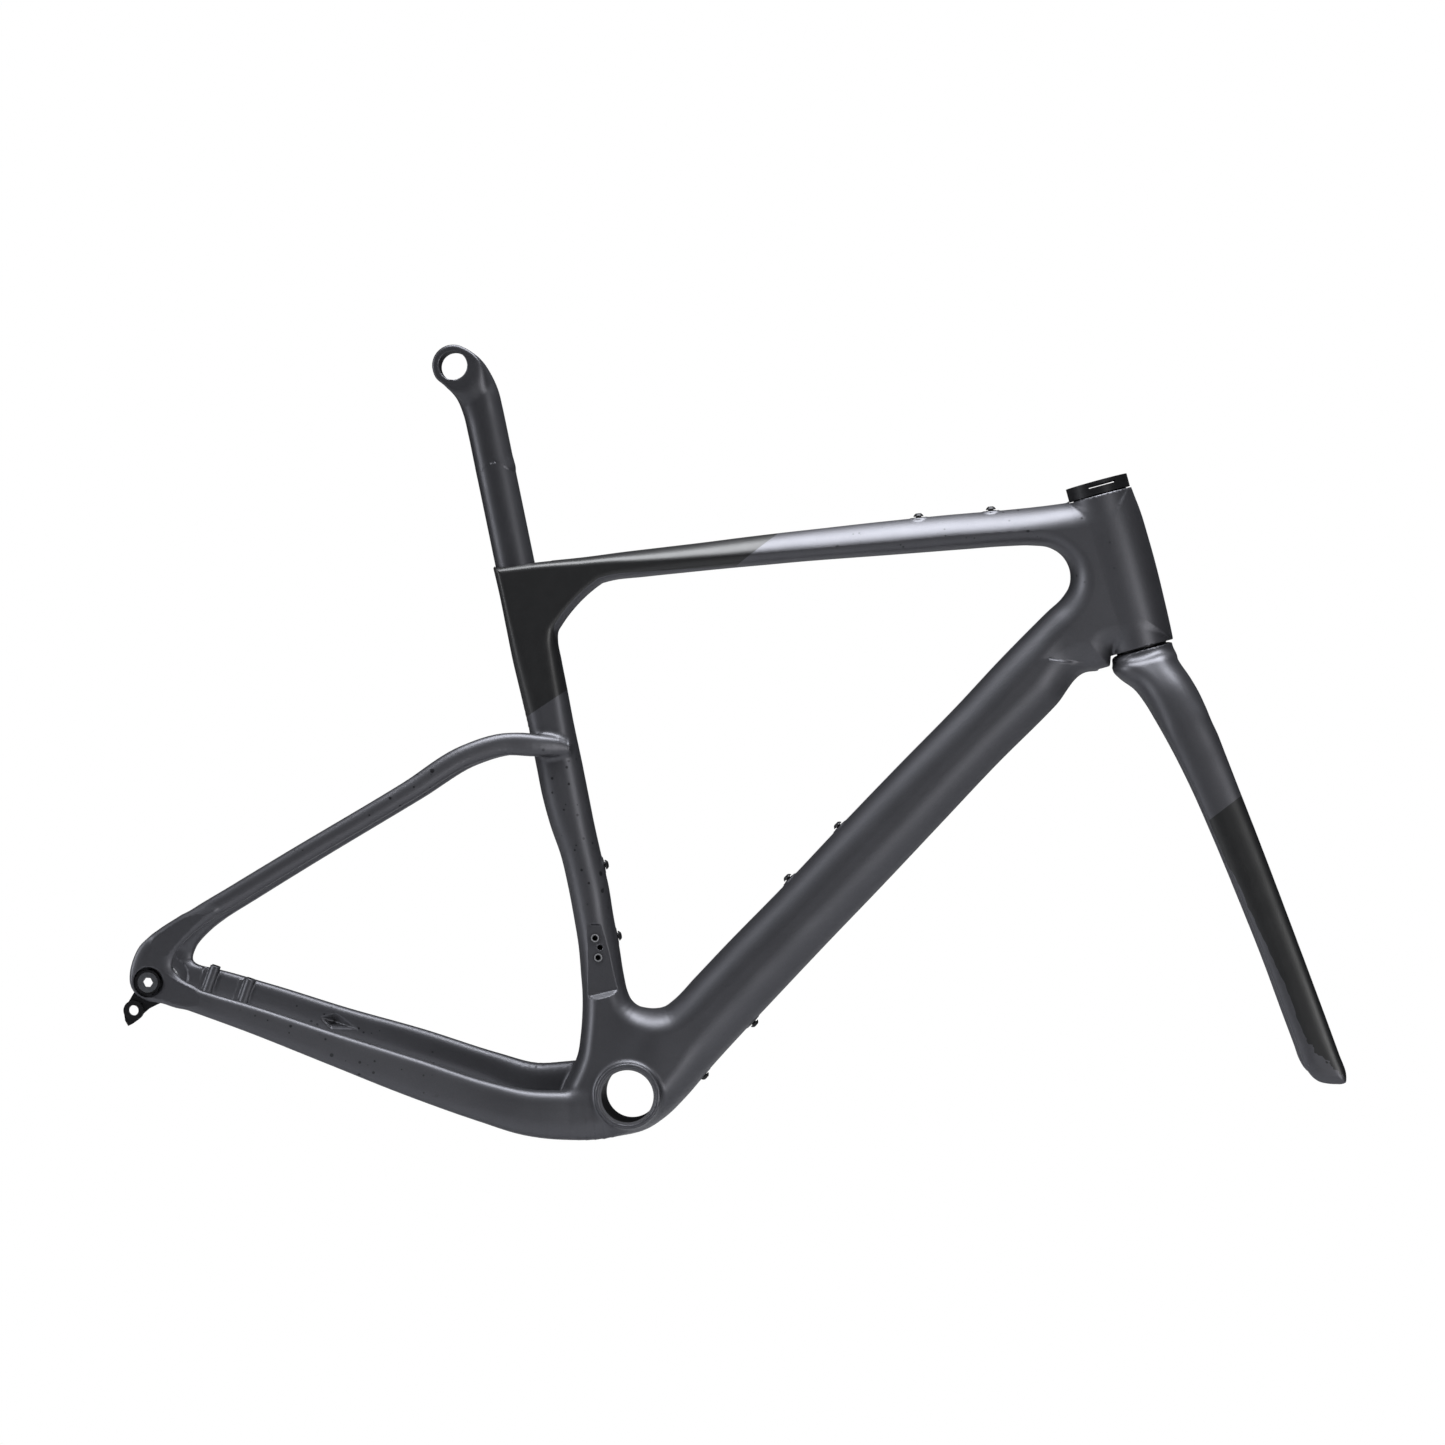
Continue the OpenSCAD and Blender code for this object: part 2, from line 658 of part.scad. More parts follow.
leg_stations = [
  leg_top,
  [457, 335, 494, 351, 43, 20, 2.8],
  [485, 284, 518, 299, 47, 17, 2.8],
  [511, 233, 542, 248, 50, 15, 2.8],
  [536, 182, 566, 196, 53, 14, 2.8],
  [560, 131, 588, 145, 55.5, 13, 2.8],
  [580, 88, 609, 99, 56.5, 13, 3],
  [590, 62, 623, 69, 56.5, 13, 3.2],
  [601, 54, 625, 57, 56.5, 12, 3.2]
];
front_axle = [front_reach, 0, bb_drop - 0.5];
leg_bore_r = 8.5;
leg_in = front_hub_w / 2;
leg_out = leg_in + 13;
module fork_leg_right() {
  color(carbon_black) difference() {
    solid_skin(mirrored(leg_stations));
    translate(front_axle) across(leg_bore_r, -leg_out + 2.5, -leg_in + 5);
  }
}
module fork_leg_left() {
  color(carbon_black) difference() {
    solid_skin(leg_stations);
    translate(front_axle) across(leg_bore_r, leg_in - 5, leg_out + 5);
  }
}
module fork_insert_right() {
  color(alloy_grey) translate(front_axle) difference() {
    across(leg_bore_r, -leg_out + 2.5, -leg_in);
    across(axle_d / 2 - 0.4, -leg_out + 3.5, -leg_in + past);
  }
}
module fork_insert_left() {
  color(alloy_grey) translate(front_axle) difference() {
    across(leg_bore_r, leg_in, leg_out);
    across(axle_d / 2 + clearance, leg_in - past, leg_out + past);
  }
}

// ---- Small groups ----------------------------------------------------------------------------------------------
module front_derailleur_rivnuts() {
  color(alloy_grey) for (b = fd_bosses) translate([b[0], -fd_face, b[1]]) rotate([90, 0, 0]) rivnut(thread_r);
}
module top_tube_rivnuts() {
  rivnut_pair(top_bosses);
}
module down_tube_rivnuts() {
  rivnut_pair(down_bosses);
}
module down_tube_under_rivnuts() {
  rivnut_pair(under_bosses);
}
module seat_tube_rivnuts() {
  rivnut_pair(seat_bosses);
}
module top_tube_bolts() {
  bolt_pair(top_bosses);
}
module down_tube_bolts() {
  bolt_pair(down_bosses);
}
module down_tube_under_bolts() {
  bolt_pair(under_bosses);
}
module seat_tube_bolts() {
  bolt_pair(seat_bosses);
}

head_tube();
top_tube();
down_tube();
seat_tube();
seat_lug();
bb_shell();
bb_sleeve();
chainstay_right();
chainstay_left();
seatstay_right();
seatstay_left();
dropout_right();
dropout_left();
rear_axle_insert();
derailleur_hanger();
hanger_washer();
hanger_bolt();
flat_mount_sleeves();
front_derailleur_rivnuts();
top_tube_rivnuts();
down_tube_rivnuts();
down_tube_under_rivnuts();
seat_tube_rivnuts();
top_tube_bolts();
down_tube_bolts();
down_tube_under_bolts();
seat_tube_bolts();
upper_bearing_outer_race();
upper_bearing_inner_race();
upper_bearing_balls();
lower_bearing_outer_race();
lower_bearing_inner_race();
lower_bearing_balls();
crown_race();
compression_ring();
headset_cover();
steerer();
steerer_plug();
steerer_plug_bolt();
fork_crown();
fork_leg_right();
fork_leg_left();
fork_insert_right();
fork_insert_left();
seatpost();
wedge_shoe();
wedge_block();
wedge_bolt();
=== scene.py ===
import json
import math

import bpy
import numpy as np
from mathutils import Matrix, Vector


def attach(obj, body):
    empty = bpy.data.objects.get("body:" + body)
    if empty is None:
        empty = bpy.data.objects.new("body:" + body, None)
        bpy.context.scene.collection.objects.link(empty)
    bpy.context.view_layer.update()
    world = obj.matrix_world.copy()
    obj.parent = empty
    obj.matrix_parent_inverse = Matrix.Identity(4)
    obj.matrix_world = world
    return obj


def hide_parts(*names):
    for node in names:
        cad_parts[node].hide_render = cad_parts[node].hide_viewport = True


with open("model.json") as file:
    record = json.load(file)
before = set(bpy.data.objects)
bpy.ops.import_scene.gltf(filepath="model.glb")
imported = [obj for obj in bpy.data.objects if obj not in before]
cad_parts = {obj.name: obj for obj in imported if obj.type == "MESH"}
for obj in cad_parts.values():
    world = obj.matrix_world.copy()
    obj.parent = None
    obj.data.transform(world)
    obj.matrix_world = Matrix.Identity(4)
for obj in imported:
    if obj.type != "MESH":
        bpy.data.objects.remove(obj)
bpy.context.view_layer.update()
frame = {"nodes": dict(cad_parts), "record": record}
nodes = frame["nodes"]
MM = 0.001

# ---- Implicit solids, in millimetres: below 0 is inside ----


def smooth_min(a, b, k):
    h = np.maximum(k - np.abs(a - b), 0.0) / k
    return np.minimum(a, b) - h * h * k * 0.25


def smooth_max(a, b, k):
    return -smooth_min(-a, -b, k)


def lean_axes(degrees):
    """Forward and upward unit vectors, in the XZ plane, of a frame leaning back."""
    a = math.radians(degrees)
    return (math.cos(a), math.sin(a)), (-math.sin(a), math.cos(a))


# Leaning frames: origin (x, z) in millimetres, and degrees of lean
STEER = ((424.5, 423.5), 19.0)     # origin at the lower end of the head tube
POST = ((-131.6, 457.0), 15.5)     # origin at the rim of the seat lug
# Places (x, z) of things that lie across the frame
BOTTOM_BRACKET = (0.0, 0.0)
REAR_AXLE = (-424.0, 73.0)
FRONT_AXLE = (601.0, 72.5)
SADDLE_BORE = (-198.0, 632.0)
DERAILLEUR_HOLES = ((-39.0, 136.0), (-35.0, 119.0))
CABLE_HOLE = (-34.0, 128.0)
SHELL_HALF_WIDTH = 43.25           # bottom bracket shell
DROPOUT_MIDDLE, DROPOUT_HALF = 75.25, 4.25
HEAD_LENGTH = 139.0


def local(p, place):
    """(forward, sideways, upward) coordinates of points in a leaning frame."""
    (ox, oz), degrees = place
    (fx, fz), (ux, uz) = lean_axes(degrees)
    dx, dz = p[:, 0] - ox, p[:, 2] - oz
    return dx * fx + dz * fz, p[:, 1], dx * ux + dz * uz


def from_local(place, a, y, c):
    (ox, oz), degrees = place
    (fx, fz), (ux, uz) = lean_axes(degrees)
    return (ox + a * fx + c * ux, y, oz + a * fz + c * uz)


def rod(a, b, radius):
    """Infinite round rod, from its two crosswise coordinates."""
    return np.sqrt(a * a + b * b) - radius


def pin(p, place, radius):
    """Infinite round rod along Y."""
    return rod(p[:, 0] - place[0], p[:, 2] - place[1], radius)


def oval(a, y, half_a, half_y):
    """Infinite oval rod, from its two crosswise coordinates."""
    q = np.sqrt((a / half_a) ** 2 + (y / half_y) ** 2)
    return np.sqrt(a * a + y * y) * (1 - 1 / np.maximum(q, 1e-3))


def ease(t):
    """Smooth step from 0 to 1 while t goes from 0 to 1."""
    t = np.clip(t, 0, 1)
    return t * t * (3 - 2 * t)


def smooth_curve(points, step):
    """Catmull-Rom through rows of points; the first two columns set the spacing."""
    pts = np.array(points, float)
    n = len(pts)
    out = []
    for i in range(n - 1):
        p1, p2 = pts[i], pts[i + 1]
        p0 = pts[i - 1] if i > 0 else 2 * p1 - p2
        p3 = pts[i + 2] if i + 2 < n else 2 * p2 - p1
        gap = np.linalg.norm(p2[:2] - p1[:2])
        count = max(1, int(round(gap / step)))
        d01 = max(np.linalg.norm(p1[:2] - p0[:2]), 1e-6)
        d23 = max(np.linalg.norm(p3[:2] - p2[:2]), 1e-6)
        m1 = (p2 - p1) / gap * d01 / (d01 + gap) + (p1 - p0) / d01 * gap / (d01 + gap)
        m2 = (p2 - p1) / gap * d23 / (d23 + gap) + (p3 - p2) / d23 * gap / (d23 + gap)
        for j in range(count):
            t = j / count
            t2, t3 = t * t, t * t * t
            out.append((2 * t3 - 3 * t2 + 1) * p1 + (t3 - 2 * t2 + t) * m1 * gap
                       + (3 * t2 - 2 * t3) * p2 + (t3 - t2) * m2 * gap)
    out.append(pts[-1])
    return np.array(out)


OUTLINE_STEP, LOFT_STEP = 3.0, 6.0   # spacing of points along outlines and lofts


def outline(*runs):
    """Closed polygon from runs of points; each run is smooth, and runs meet at corners."""
    parts = []
    for i, run in enumerate(runs):
        following = runs[(i + 1) % len(runs)][0]
        parts.append(smooth_curve(list(run) + [following], OUTLINE_STEP)[:-1])
    return np.concatenate(parts)


def edge_of(poly):
    return lambda x, z: polygon_distance(x, z, poly)


def polygon_distance(x, z, poly):
    """Signed distance of points to a closed polygon, below 0 inside."""
    best = np.full(x.shape, 1e9)
    inside = np.zeros(x.shape, bool)
    ax, az = poly[:, 0], poly[:, 1]
    bx, bz = np.roll(ax, -1), np.roll(az, -1)
    for i in range(len(poly)):
        ex, ez = bx[i] - ax[i], bz[i] - az[i]
        wx, wz = x - ax[i], z - az[i]
        t = np.clip((wx * ex + wz * ez) / max(ex * ex + ez * ez, 1e-9), 0, 1)
        dx, dz = wx - ex * t, wz - ez * t
        np.minimum(best, dx * dx + dz * dz, out=best)
        if az[i] != bz[i]:
            crosses = (az[i] > z) != (bz[i] > z)
            inside ^= crosses & (x < ax[i] + (z - az[i]) * ex / (bz[i] - az[i]))
    return np.where(inside, -1.0, 1.0) * np.sqrt(best)


class Sheet:
    """Values on an XZ grid, read back smoothly anywhere."""

    def __init__(self, low, high, step, functions):
        self.low, self.step = np.array(low, float), step
        self.nx = int(math.ceil((high[0] - low[0]) / step)) + 1
        self.nz = int(math.ceil((high[1] - low[1]) / step)) + 1
        x = low[0] + step * np.arange(self.nx)
        z = low[1] + step * np.arange(self.nz)
        gx, gz = np.meshgrid(x, z, indexing="ij")
        self.v = np.stack([f(gx, gz) for f in functions], -1).astype(np.float32)

    def read(self, p, exact):
        """Values at points: cubic between grid nodes, or at the nearest node if not exact."""
        fx = (p[:, 0] - self.low[0]) / self.step
        fz = (p[:, 2] - self.low[1]) / self.step
        if not exact:
            i = np.clip(np.rint(fx).astype(int), 0, self.nx - 1)
            k = np.clip(np.rint(fz).astype(int), 0, self.nz - 1)
            return self.v[i, k]
        i = np.clip(np.floor(fx).astype(int), 1, self.nx - 3)
        k = np.clip(np.floor(fz).astype(int), 1, self.nz - 3)
        wx, wz = self._weights(fx - i), self._weights(fz - k)
        out = 0
        for a in range(4):
            row = 0
            for b in range(4):
                row = row + self.v[i + a - 1, k + b - 1] * wz[b][:, None]
            out = out + row * wx[a][:, None]
        return out

    @staticmethod
    def _weights(t):
        t2, t3 = t * t, t * t * t
        return (-0.5 * t + t2 - 0.5 * t3, 1 - 2.5 * t2 + 1.5 * t3,
                0.5 * t + 2 * t2 - 1.5 * t3, -0.5 * t2 + 0.5 * t3)


def spread(rows, width=20.0):
    """Smooth fields from rows [x, z, value...] placed along the tubes."""
    pts = np.array(rows, float)
    columns = pts.shape[1] - 2

    def field(c):
        def f(gx, gz):
            total, weight = np.zeros(gx.shape), np.full(gx.shape, 1e-12)
            for r in pts:
                d2 = (gx - r[0]) ** 2 + (gz - r[1]) ** 2
                w = np.exp(-d2 / (2 * width * width)) + 1e-6 / (1 + d2 * 1e-3) ** 3
                total += w * r[2 + c]
                weight += w
            return total / weight
        return f
    return [field(c) for c in range(columns)]


def loft(stations):
    """Implicit tube through stations [rear x, rear z, front x, front z, y, width, squareness]."""
    s = np.array(stations, float)
    mid = np.column_stack([(s[:, 0] + s[:, 2]) / 2, (s[:, 1] + s[:, 3]) / 2, s[:, 4]])
    half = np.hypot(s[:, 2] - s[:, 0], s[:, 3] - s[:, 1]) / 2
    ang = np.unwrap(np.arctan2(s[:, 3] - s[:, 1], s[:, 2] - s[:, 0]))
    rows = np.column_stack([mid, half, s[:, 5] / 2, ang, s[:, 6]])
    dense = smooth_curve(rows, LOFT_STEP)
    reach = 1.4 * np.maximum(dense[:, 3], dense[:, 4]) + 1
    centre = dense[:, [0, 2, 1]]
    low, high = (centre - reach[:, None]).min(0), (centre + reach[:, None]).max(0)

    def f(p):
        x, y, z = p[:, 0], p[:, 1], p[:, 2]
        best = np.full(len(p), 1e9)
        param = np.zeros(len(p))   # place along the path
        over = np.zeros(len(p))    # distance past either end
        last = len(dense) - 2
        for i in range(len(dense) - 1):
            a, b = dense[i], dense[i + 1]
            ex, ez, ey = b[0] - a[0], b[1] - a[1], b[2] - a[2]
            length2 = ex * ex + ez * ez + ey * ey
            t = ((x - a[0]) * ex + (z - a[1]) * ez + (y - a[2]) * ey) / length2
            tc = np.clip(t, 0, 1)
            d2 = (x - a[0] - ex * tc) ** 2 + (z - a[1] - ez * tc) ** 2 + (y - a[2] - ey * tc) ** 2
            m = d2 < best
            best = np.where(m, d2, best)
            param = np.where(m, i + tc, param)
            beyond = 0.0
            if i == 0:
                beyond = np.where(t < 0, -t * math.sqrt(length2), 0)
            if i == last:
                beyond = np.where(t > 1, (t - 1) * math.sqrt(length2), beyond)
            over = np.where(m, beyond, over)
        i = np.minimum(param.astype(int), last)
        w = (param - i)[:, None]
        r = dense[i] * (1 - w) + dense[i + 1] * w
        ca, sa = np.cos(r[:, 5]), np.sin(r[:, 5])
        u = (x - r[:, 0]) * ca + (z - r[:, 1]) * sa
        v = y - r[:, 2]
        n = r[:, 6]
        q = (np.abs(u / r[:, 3]) ** n + np.abs(v / r[:, 4]) ** n) ** (1 / n)
        q = np.maximum(q, 1e-4)
        radial = np.sqrt(u * u + v * v)
        side = np.where(q > 0.15, radial * (1 - 1 / q), -np.minimum(r[:, 3], r[:, 4]))
        nose = 0.75 * np.minimum(r[:, 3], r[:, 4])   # rounding of the two ends
        return np.where(over > 0, np.hypot(np.maximum(side + nose, 0), over) - nose, side)
    return f, low, high


def add(value, p, part, k, margin=14):
    """Blends a part into the value, working only near it."""
    f, low, high = part
    near = np.all((p > low - margin) & (p < high + margin), axis=1)
    if near.any():
        value[near] = smooth_min(value[near], f(p[near]), k)


def cut(value, p, part, k=0.01, margin=3):
    """Takes a part away from the value, working only near it."""
    f, low, high = part
    near = np.all((p > low - margin) & (p < high + margin), axis=1)
    if near.any():
        value[near] = smooth_max(value[near], -f(p[near]), k)


def solid(low, high, f):
    """A part: its field, and the corners of the box that holds it."""
    return f, np.array(low, float), np.array(high, float)


def cross_hole(place, radius, y0, y1):
    """Round solid along Y."""
    x, z = place

    def f(p):
        return np.maximum(pin(p, place, radius), np.maximum(y0 - p[:, 1], p[:, 1] - y1))
    return solid((x - radius, y0, z - radius), (x + radius, y1, z + radius), f)


def drilled(place, a0, y0, radius, c0, c1):
    """Round solid along the upward axis of a leaning frame."""
    ends = np.array([from_local(place, a0 + s * radius, y0 + t * radius, c)
                     for s in (-1, 1) for t in (-1, 1) for c in (c0, c1)])

    def f(p):
        a, y, c = local(p, place)
        return np.maximum(rod(a - a0, y - y0, radius), np.maximum(c0 - c, c - c1))
    return solid(ends.min(0), ends.max(0), f)


# ---- Mesh from an implicit solid: dual contouring ----


BLOCK = 8            # cells along a block; blocks far from the surface are skipped
SLACK = 1.6          # how much faster than distance a field may grow
RELAX_TURNS = 3      # smoothing passes
SMOOTH_ABOVE = 0.94  # length of a cell's mean normal, above which the cell holds no crease
SHARP_ANGLE = 32.0   # degrees between faces, above which their edge is shaded sharp


def extract(f, low, high, h):
    """Vertices, quads and normals of the surface f = 0. f(points, exact) works in millimetres."""
    low = np.array(low, float)
    n = [int(math.ceil((b - a) / h / BLOCK)) * BLOCK + 1 for a, b in zip(low, high)]
    coarse = [(m - 1) // BLOCK for m in n]
    centre = [low[a] + h * BLOCK * (np.arange(coarse[a]) + 0.5) for a in range(3)]
    cg = np.stack(np.meshgrid(*centre, indexing="ij"), -1).reshape(-1, 3)
    cv = np.concatenate([f(c, False) for c in np.array_split(cg, 8)])
    reach = h * BLOCK * 0.87 * SLACK
    value = np.empty(n, np.float32)
    sign = np.where(cv < 0, -1.0, 1.0).reshape(coarse)
    big = np.repeat(np.repeat(np.repeat(sign, BLOCK, 0), BLOCK, 1), BLOCK, 2)
    value[:-1, :-1, :-1] = big
    value[-1], value[:, -1], value[:, :, -1] = 1, 1, 1
    blocks = np.argwhere(np.abs(cv.reshape(coarse)) < reach)
    off = np.stack(np.meshgrid(*[np.arange(BLOCK + 1)] * 3, indexing="ij"), -1).reshape(-1, 3)
    for group in np.array_split(blocks, max(1, len(blocks) // 700)):
        idx = (group[:, None, :] * BLOCK + off[None]).reshape(-1, 3)
        v = f(low + idx * h, False)
        value[idx[:, 0], idx[:, 1], idx[:, 2]] = v
    value[0], value[:, 0], value[:, :, 0] = 1, 1, 1
    value[-1], value[:, -1], value[:, :, -1] = 1, 1, 1
    inside = value < 0
    stride = (n[1] * n[2], n[2], 1)
    cells, points, quads, flips = [], [], [], []
    for axis in range(3):
        a = [slice(None)] * 3
        b = [slice(None)] * 3
        a[axis], b[axis] = slice(None, -1), slice(1, None)
        hit = np.argwhere(inside[tuple(a)] != inside[tuple(b)])
        nxt = hit.copy()
        nxt[:, axis] += 1
        va = value[hit[:, 0], hit[:, 1], hit[:, 2]]
        vb = value[nxt[:, 0], nxt[:, 1], nxt[:, 2]]
        t = va / (va - vb)
        pt = hit.astype(float)
        pt[:, axis] += t
        base = hit @ np.array(stride)
        b1, b2 = (axis + 1) % 3, (axis + 2) % 3
        cells.append(np.stack(
            [base, base - stride[b1], base - stride[b1] - stride[b2], base - stride[b2]], 1))
        points.append(pt)
        flips.append(va > 0)
    around = np.concatenate(cells)
    points = low + np.concatenate(points) * h
    flip = np.concatenate(flips)

    def gradient(p, eps):
        g = np.empty((len(p), 3))
        for a in range(3):
            q = p.copy()
            q[:, a] += eps
            up = f(q, True)
            q[:, a] -= 2 * eps
            g[:, a] = (up - f(q, True)) / (2 * eps)
        return g

    def unit(g):
        return g / np.maximum(np.linalg.norm(g, axis=1), 1e-9)[:, None]

    # crossing points move onto the exact surface, along the field's gradient
    for _ in range(2):
        g = gradient(points, 0.05)
        step = f(points, True) / np.maximum((g * g).sum(1), 0.05)
        step = np.clip(step, -0.3 * h, 0.3 * h)
        points = points - g * step[:, None]
    normal = unit(gradient(points, 0.05))
    ids, back = np.unique(around.ravel(), return_inverse=True)
    back = back.reshape(around.shape)
    m = len(ids)
    flat = back.ravel()

    def gather(w):
        return np.bincount(flat, weights=np.repeat(w, 4), minlength=m)
    count = gather(np.ones(len(points)))
    mass = np.stack([gather(points[:, a]) for a in range(3)], 1) / count[:, None]
    mean = np.stack([gather(normal[:, a]) for a in range(3)], 1) / count[:, None]
    d = (normal * points).sum(1)
    ata = np.empty((m, 3, 3))
    for a in range(3):
        for b in range(a, 3):
            ata[:, a, b] = ata[:, b, a] = gather(normal[:, a] * normal[:, b])
    atb = np.stack([gather(normal[:, a] * d) for a in range(3)], 1)
    rhs = atb - np.einsum("nij,nj->ni", ata, mass)
    move = np.linalg.solve(ata + np.eye(3) * 0.06 * count[:, None, None], rhs[..., None])[..., 0]
    limit = np.maximum(np.linalg.norm(move, axis=1) / (1.2 * h), 1.0)
    vert = mass + move / limit[:, None]
    smooth = np.linalg.norm(mean, axis=1) > SMOOTH_ABOVE
    quads = np.where(flip[:, None], back[:, ::-1], back)

    # vertices away from creases even out along the surface and land exactly on it
    edges = np.concatenate([quads[:, [0, 1]], quads[:, [1, 2]], quads[:, [2, 3]], quads[:, [3, 0]]])
    e0, e1 = np.concatenate([edges[:, 0], edges[:, 1]]), np.concatenate([edges[:, 1], edges[:, 0]])
    degree = np.bincount(e0, minlength=m)
    for turn in range(RELAX_TURNS + 1):
        g = gradient(vert[smooth], 0.05)
        step = f(vert[smooth], True) / np.maximum((g * g).sum(1), 0.1)
        step = np.clip(step, -0.5 * h, 0.5 * h)
        vert[smooth] -= g * step[:, None]
        if turn == RELAX_TURNS:
            break
        nrm = unit(g)
        avg = np.stack([np.bincount(e0, weights=vert[e1, a], minlength=m) for a in range(3)], 1)
        lap = (avg / np.maximum(degree, 1)[:, None] - vert)[smooth]
        lap -= nrm * (lap * nrm).sum(1)[:, None]
        vert[smooth] += 0.6 * lap
    normals = np.zeros((m, 3))
    normals[smooth] = unit(gradient(vert[smooth], 0.3))
    return vert, quads, normals


def mesh_object(name, verts, quads, normals, attributes=None):
    """A mesh with exact normals (creases keep their own) and optional values for its paint."""
    mesh = bpy.data.meshes.new(name)
    mesh.vertices.add(len(verts))
    mesh.vertices.foreach_set("co", (verts * MM).astype(np.float32).ravel())
    mesh.loops.add(quads.size)
    mesh.loops.foreach_set("vertex_index", quads.astype(np.int32).ravel())
    mesh.polygons.add(len(quads))
    mesh.polygons.foreach_set("loop_start", np.arange(0, quads.size, 4, dtype=np.int32))
    mesh.polygons.foreach_set("use_smooth", np.ones(len(quads), bool))
    mesh.update(calc_edges=True)
    mesh.validate()
    mesh.set_sharp_from_angle(angle=math.radians(SHARP_ANGLE))
    mesh.normals_split_custom_set_from_vertices(normals.tolist())
    for key, values in (attributes or {}).items():
        mesh.attributes.new(key, "FLOAT", "POINT").data.foreach_set("value", values.astype(np.float32))
    obj = bpy.data.objects.new(name, mesh)
    bpy.context.scene.collection.objects.link(obj)
    return obj


STEP = 1.5   # cell size of the surfaces

# ---- The moulded frame ----

FRAME_OUTLINE = outline(
    [(-151.6, 456.6), (-107, 465), (-72, 471), (-37, 478), (-2, 484.5), (33, 491), (69, 498),
     (104, 504.5), (139, 510.7), (174, 517), (209, 523), (245, 529), (298, 537), (330, 542.5)],
    [(352.5, 547)],
    [(404.5, 564.8), (414.5, 546), (424.5, 520), (433.5, 494), (441.5, 468), (449, 442)],
    [(451, 434)],
    [(402.5, 416), (397, 405), (389, 401), (377, 398.5), (353, 368), (304, 312), (257, 255), (210, 198),
     (163, 142), (116, 85), (93, 57), (70, 28), (50, 1), (33, -18), (16, -30.5), (0, -36), (-20, -39),
     (-40, -41), (-52, -41)],
    [(-60, -30), (-62, -14), (-59, 2), (-52, 20), (-48, 34), (-47, 47), (-47, 74), (-48, 87), (-50, 101),
     (-54, 127), (-60, 153), (-67, 180), (-75, 206), (-86, 232), (-95, 258), (-102, 284), (-112, 320),
     (-121, 350), (-129, 376), (-136, 402), (-145, 435)],
)
FRAME_HOLE = outline(
    [(-54.5, 449), (-47, 451.6), (-18, 457), (17, 463), (53, 469), (88, 474.5), (123, 480), (158, 485),
     (194, 490), (229, 495), (264, 500), (300, 505), (322, 507), (338, 506), (350, 499), (357, 487),
     (357.5, 474), (352, 463), (340, 450), (325, 433), (301, 405), (266, 362), (218, 306), (170, 249),
     (123, 192), (75, 136), (51, 107), (32, 84.5), (26, 79.5), (19, 77.3), (10, 77), (2, 78.5), (-4, 83),
     (-8, 90), (-12, 103), (-18, 129), (-25, 156), (-31, 182), (-39, 208), (-47, 235), (-54, 261),
     (-61, 287), (-72, 326), (-79, 353), (-86, 379), (-90.5, 398), (-90.5, 404), (-88, 409), (-61, 443.5)],
)
# Rows: x, z, half width, outer edge reach and squareness, inner edge reach and squareness
BODY = spread([
    [-140, 430, 18.5, 9, 3.2, 9, 3.0], [-110, 440, 18.5, 9, 3.0, 9, 3.0], [-125, 455, 18.5, 9, 3.0, 9, 3],
    [-80, 452, 18.5, 9, 2.6, 9, 3.0], [-60, 460, 18.2, 10, 2.2, 10, 2.8], [-20, 467, 18, 12, 1.7, 11, 2.6],
    [20, 476, 18, 14, 1.6, 12, 2.6], [60, 483, 18.2, 16, 1.5, 12, 2.6], [100, 490, 18.5, 18, 1.5, 12, 2.6],
    [150, 498, 19, 19, 1.45, 12, 2.6], [200, 506, 20, 20, 1.45, 12.5, 2.6], [250, 514, 21, 20, 1.45, 13, 2.6],
    [290, 521, 22.5, 21, 1.5, 14, 2.5], [320, 527, 24, 23, 1.6, 15, 2.4], [350, 530, 25.5, 24, 1.8, 16, 2.3],
    [378, 545, 27, 26, 2, 16, 2.2], [395, 500, 28, 26, 2, 20, 2.2], [405, 460, 28, 26, 2, 20, 2.2],
    [425, 430, 28, 24, 2, 18, 2.2], [375, 470, 27.6, 28, 2, 24, 2.0], [380, 430, 27.6, 28, 2, 24, 2.0],
    [350, 410, 27, 29, 2, 27, 2.0], [313, 362, 27, 29, 2, 28, 2.0], [261, 308, 27, 29, 2.05, 29, 2.05],
    [213, 252, 27, 29, 2.05, 29, 2.05], [166, 195, 27, 29, 2.05, 29, 2.05],
    [120, 139, 28, 30, 2.05, 29, 2.05], [85, 98, 29.5, 30, 2.05, 28, 2.05], [60, 60, 31, 30, 2.1, 26, 2.05],
    [30, 30, 34.5, 26, 2.2, 22, 2.1],
    [0, 0, 41.5, 22, 2.3, 20, 2.2], [-30, -15, 36, 18, 2.4, 18, 2.2], [-32, 20, 33, 16, 2.3, 20, 2.1],
    [-28, 50, 28, 16, 2.2, 18, 2.1], [-28, 80, 24.5, 17, 2.1, 18, 2.1], [-31, 105, 22.5, 18, 2.1, 18, 2.1],
    [-36, 130, 20.5, 18, 2.1, 18, 2.1], [-44, 160, 19, 18, 2.1, 18, 2.1], [-56, 205, 18.5, 18, 2.1, 18, 2.1],
    [-68, 240, 18.5, 18, 2.1, 18, 2.1], [-80, 280, 18.5, 18, 2.2, 18, 2.1],
    [-92, 320, 18.5, 17, 2.4, 16, 2.3], [-104, 360, 18.5, 16, 2.8, 15, 2.5],
    [-115, 395, 18.5, 13, 3.0, 13, 2.8],
])
BODY_LOW, BODY_HIGH = (-190.0, -60.0), (470.0, 590.0)
# The grid's Y start keeps the frame's flat faces off its planes
GRID_LOW = (-447.0, -84.37, -48.0)
GRID_HIGH = (460.0, 84.0, 584.0)


def on_grid(value, start):
    """The grid node at or just below a value."""
    return start + STEP * math.floor((value - start) / STEP)


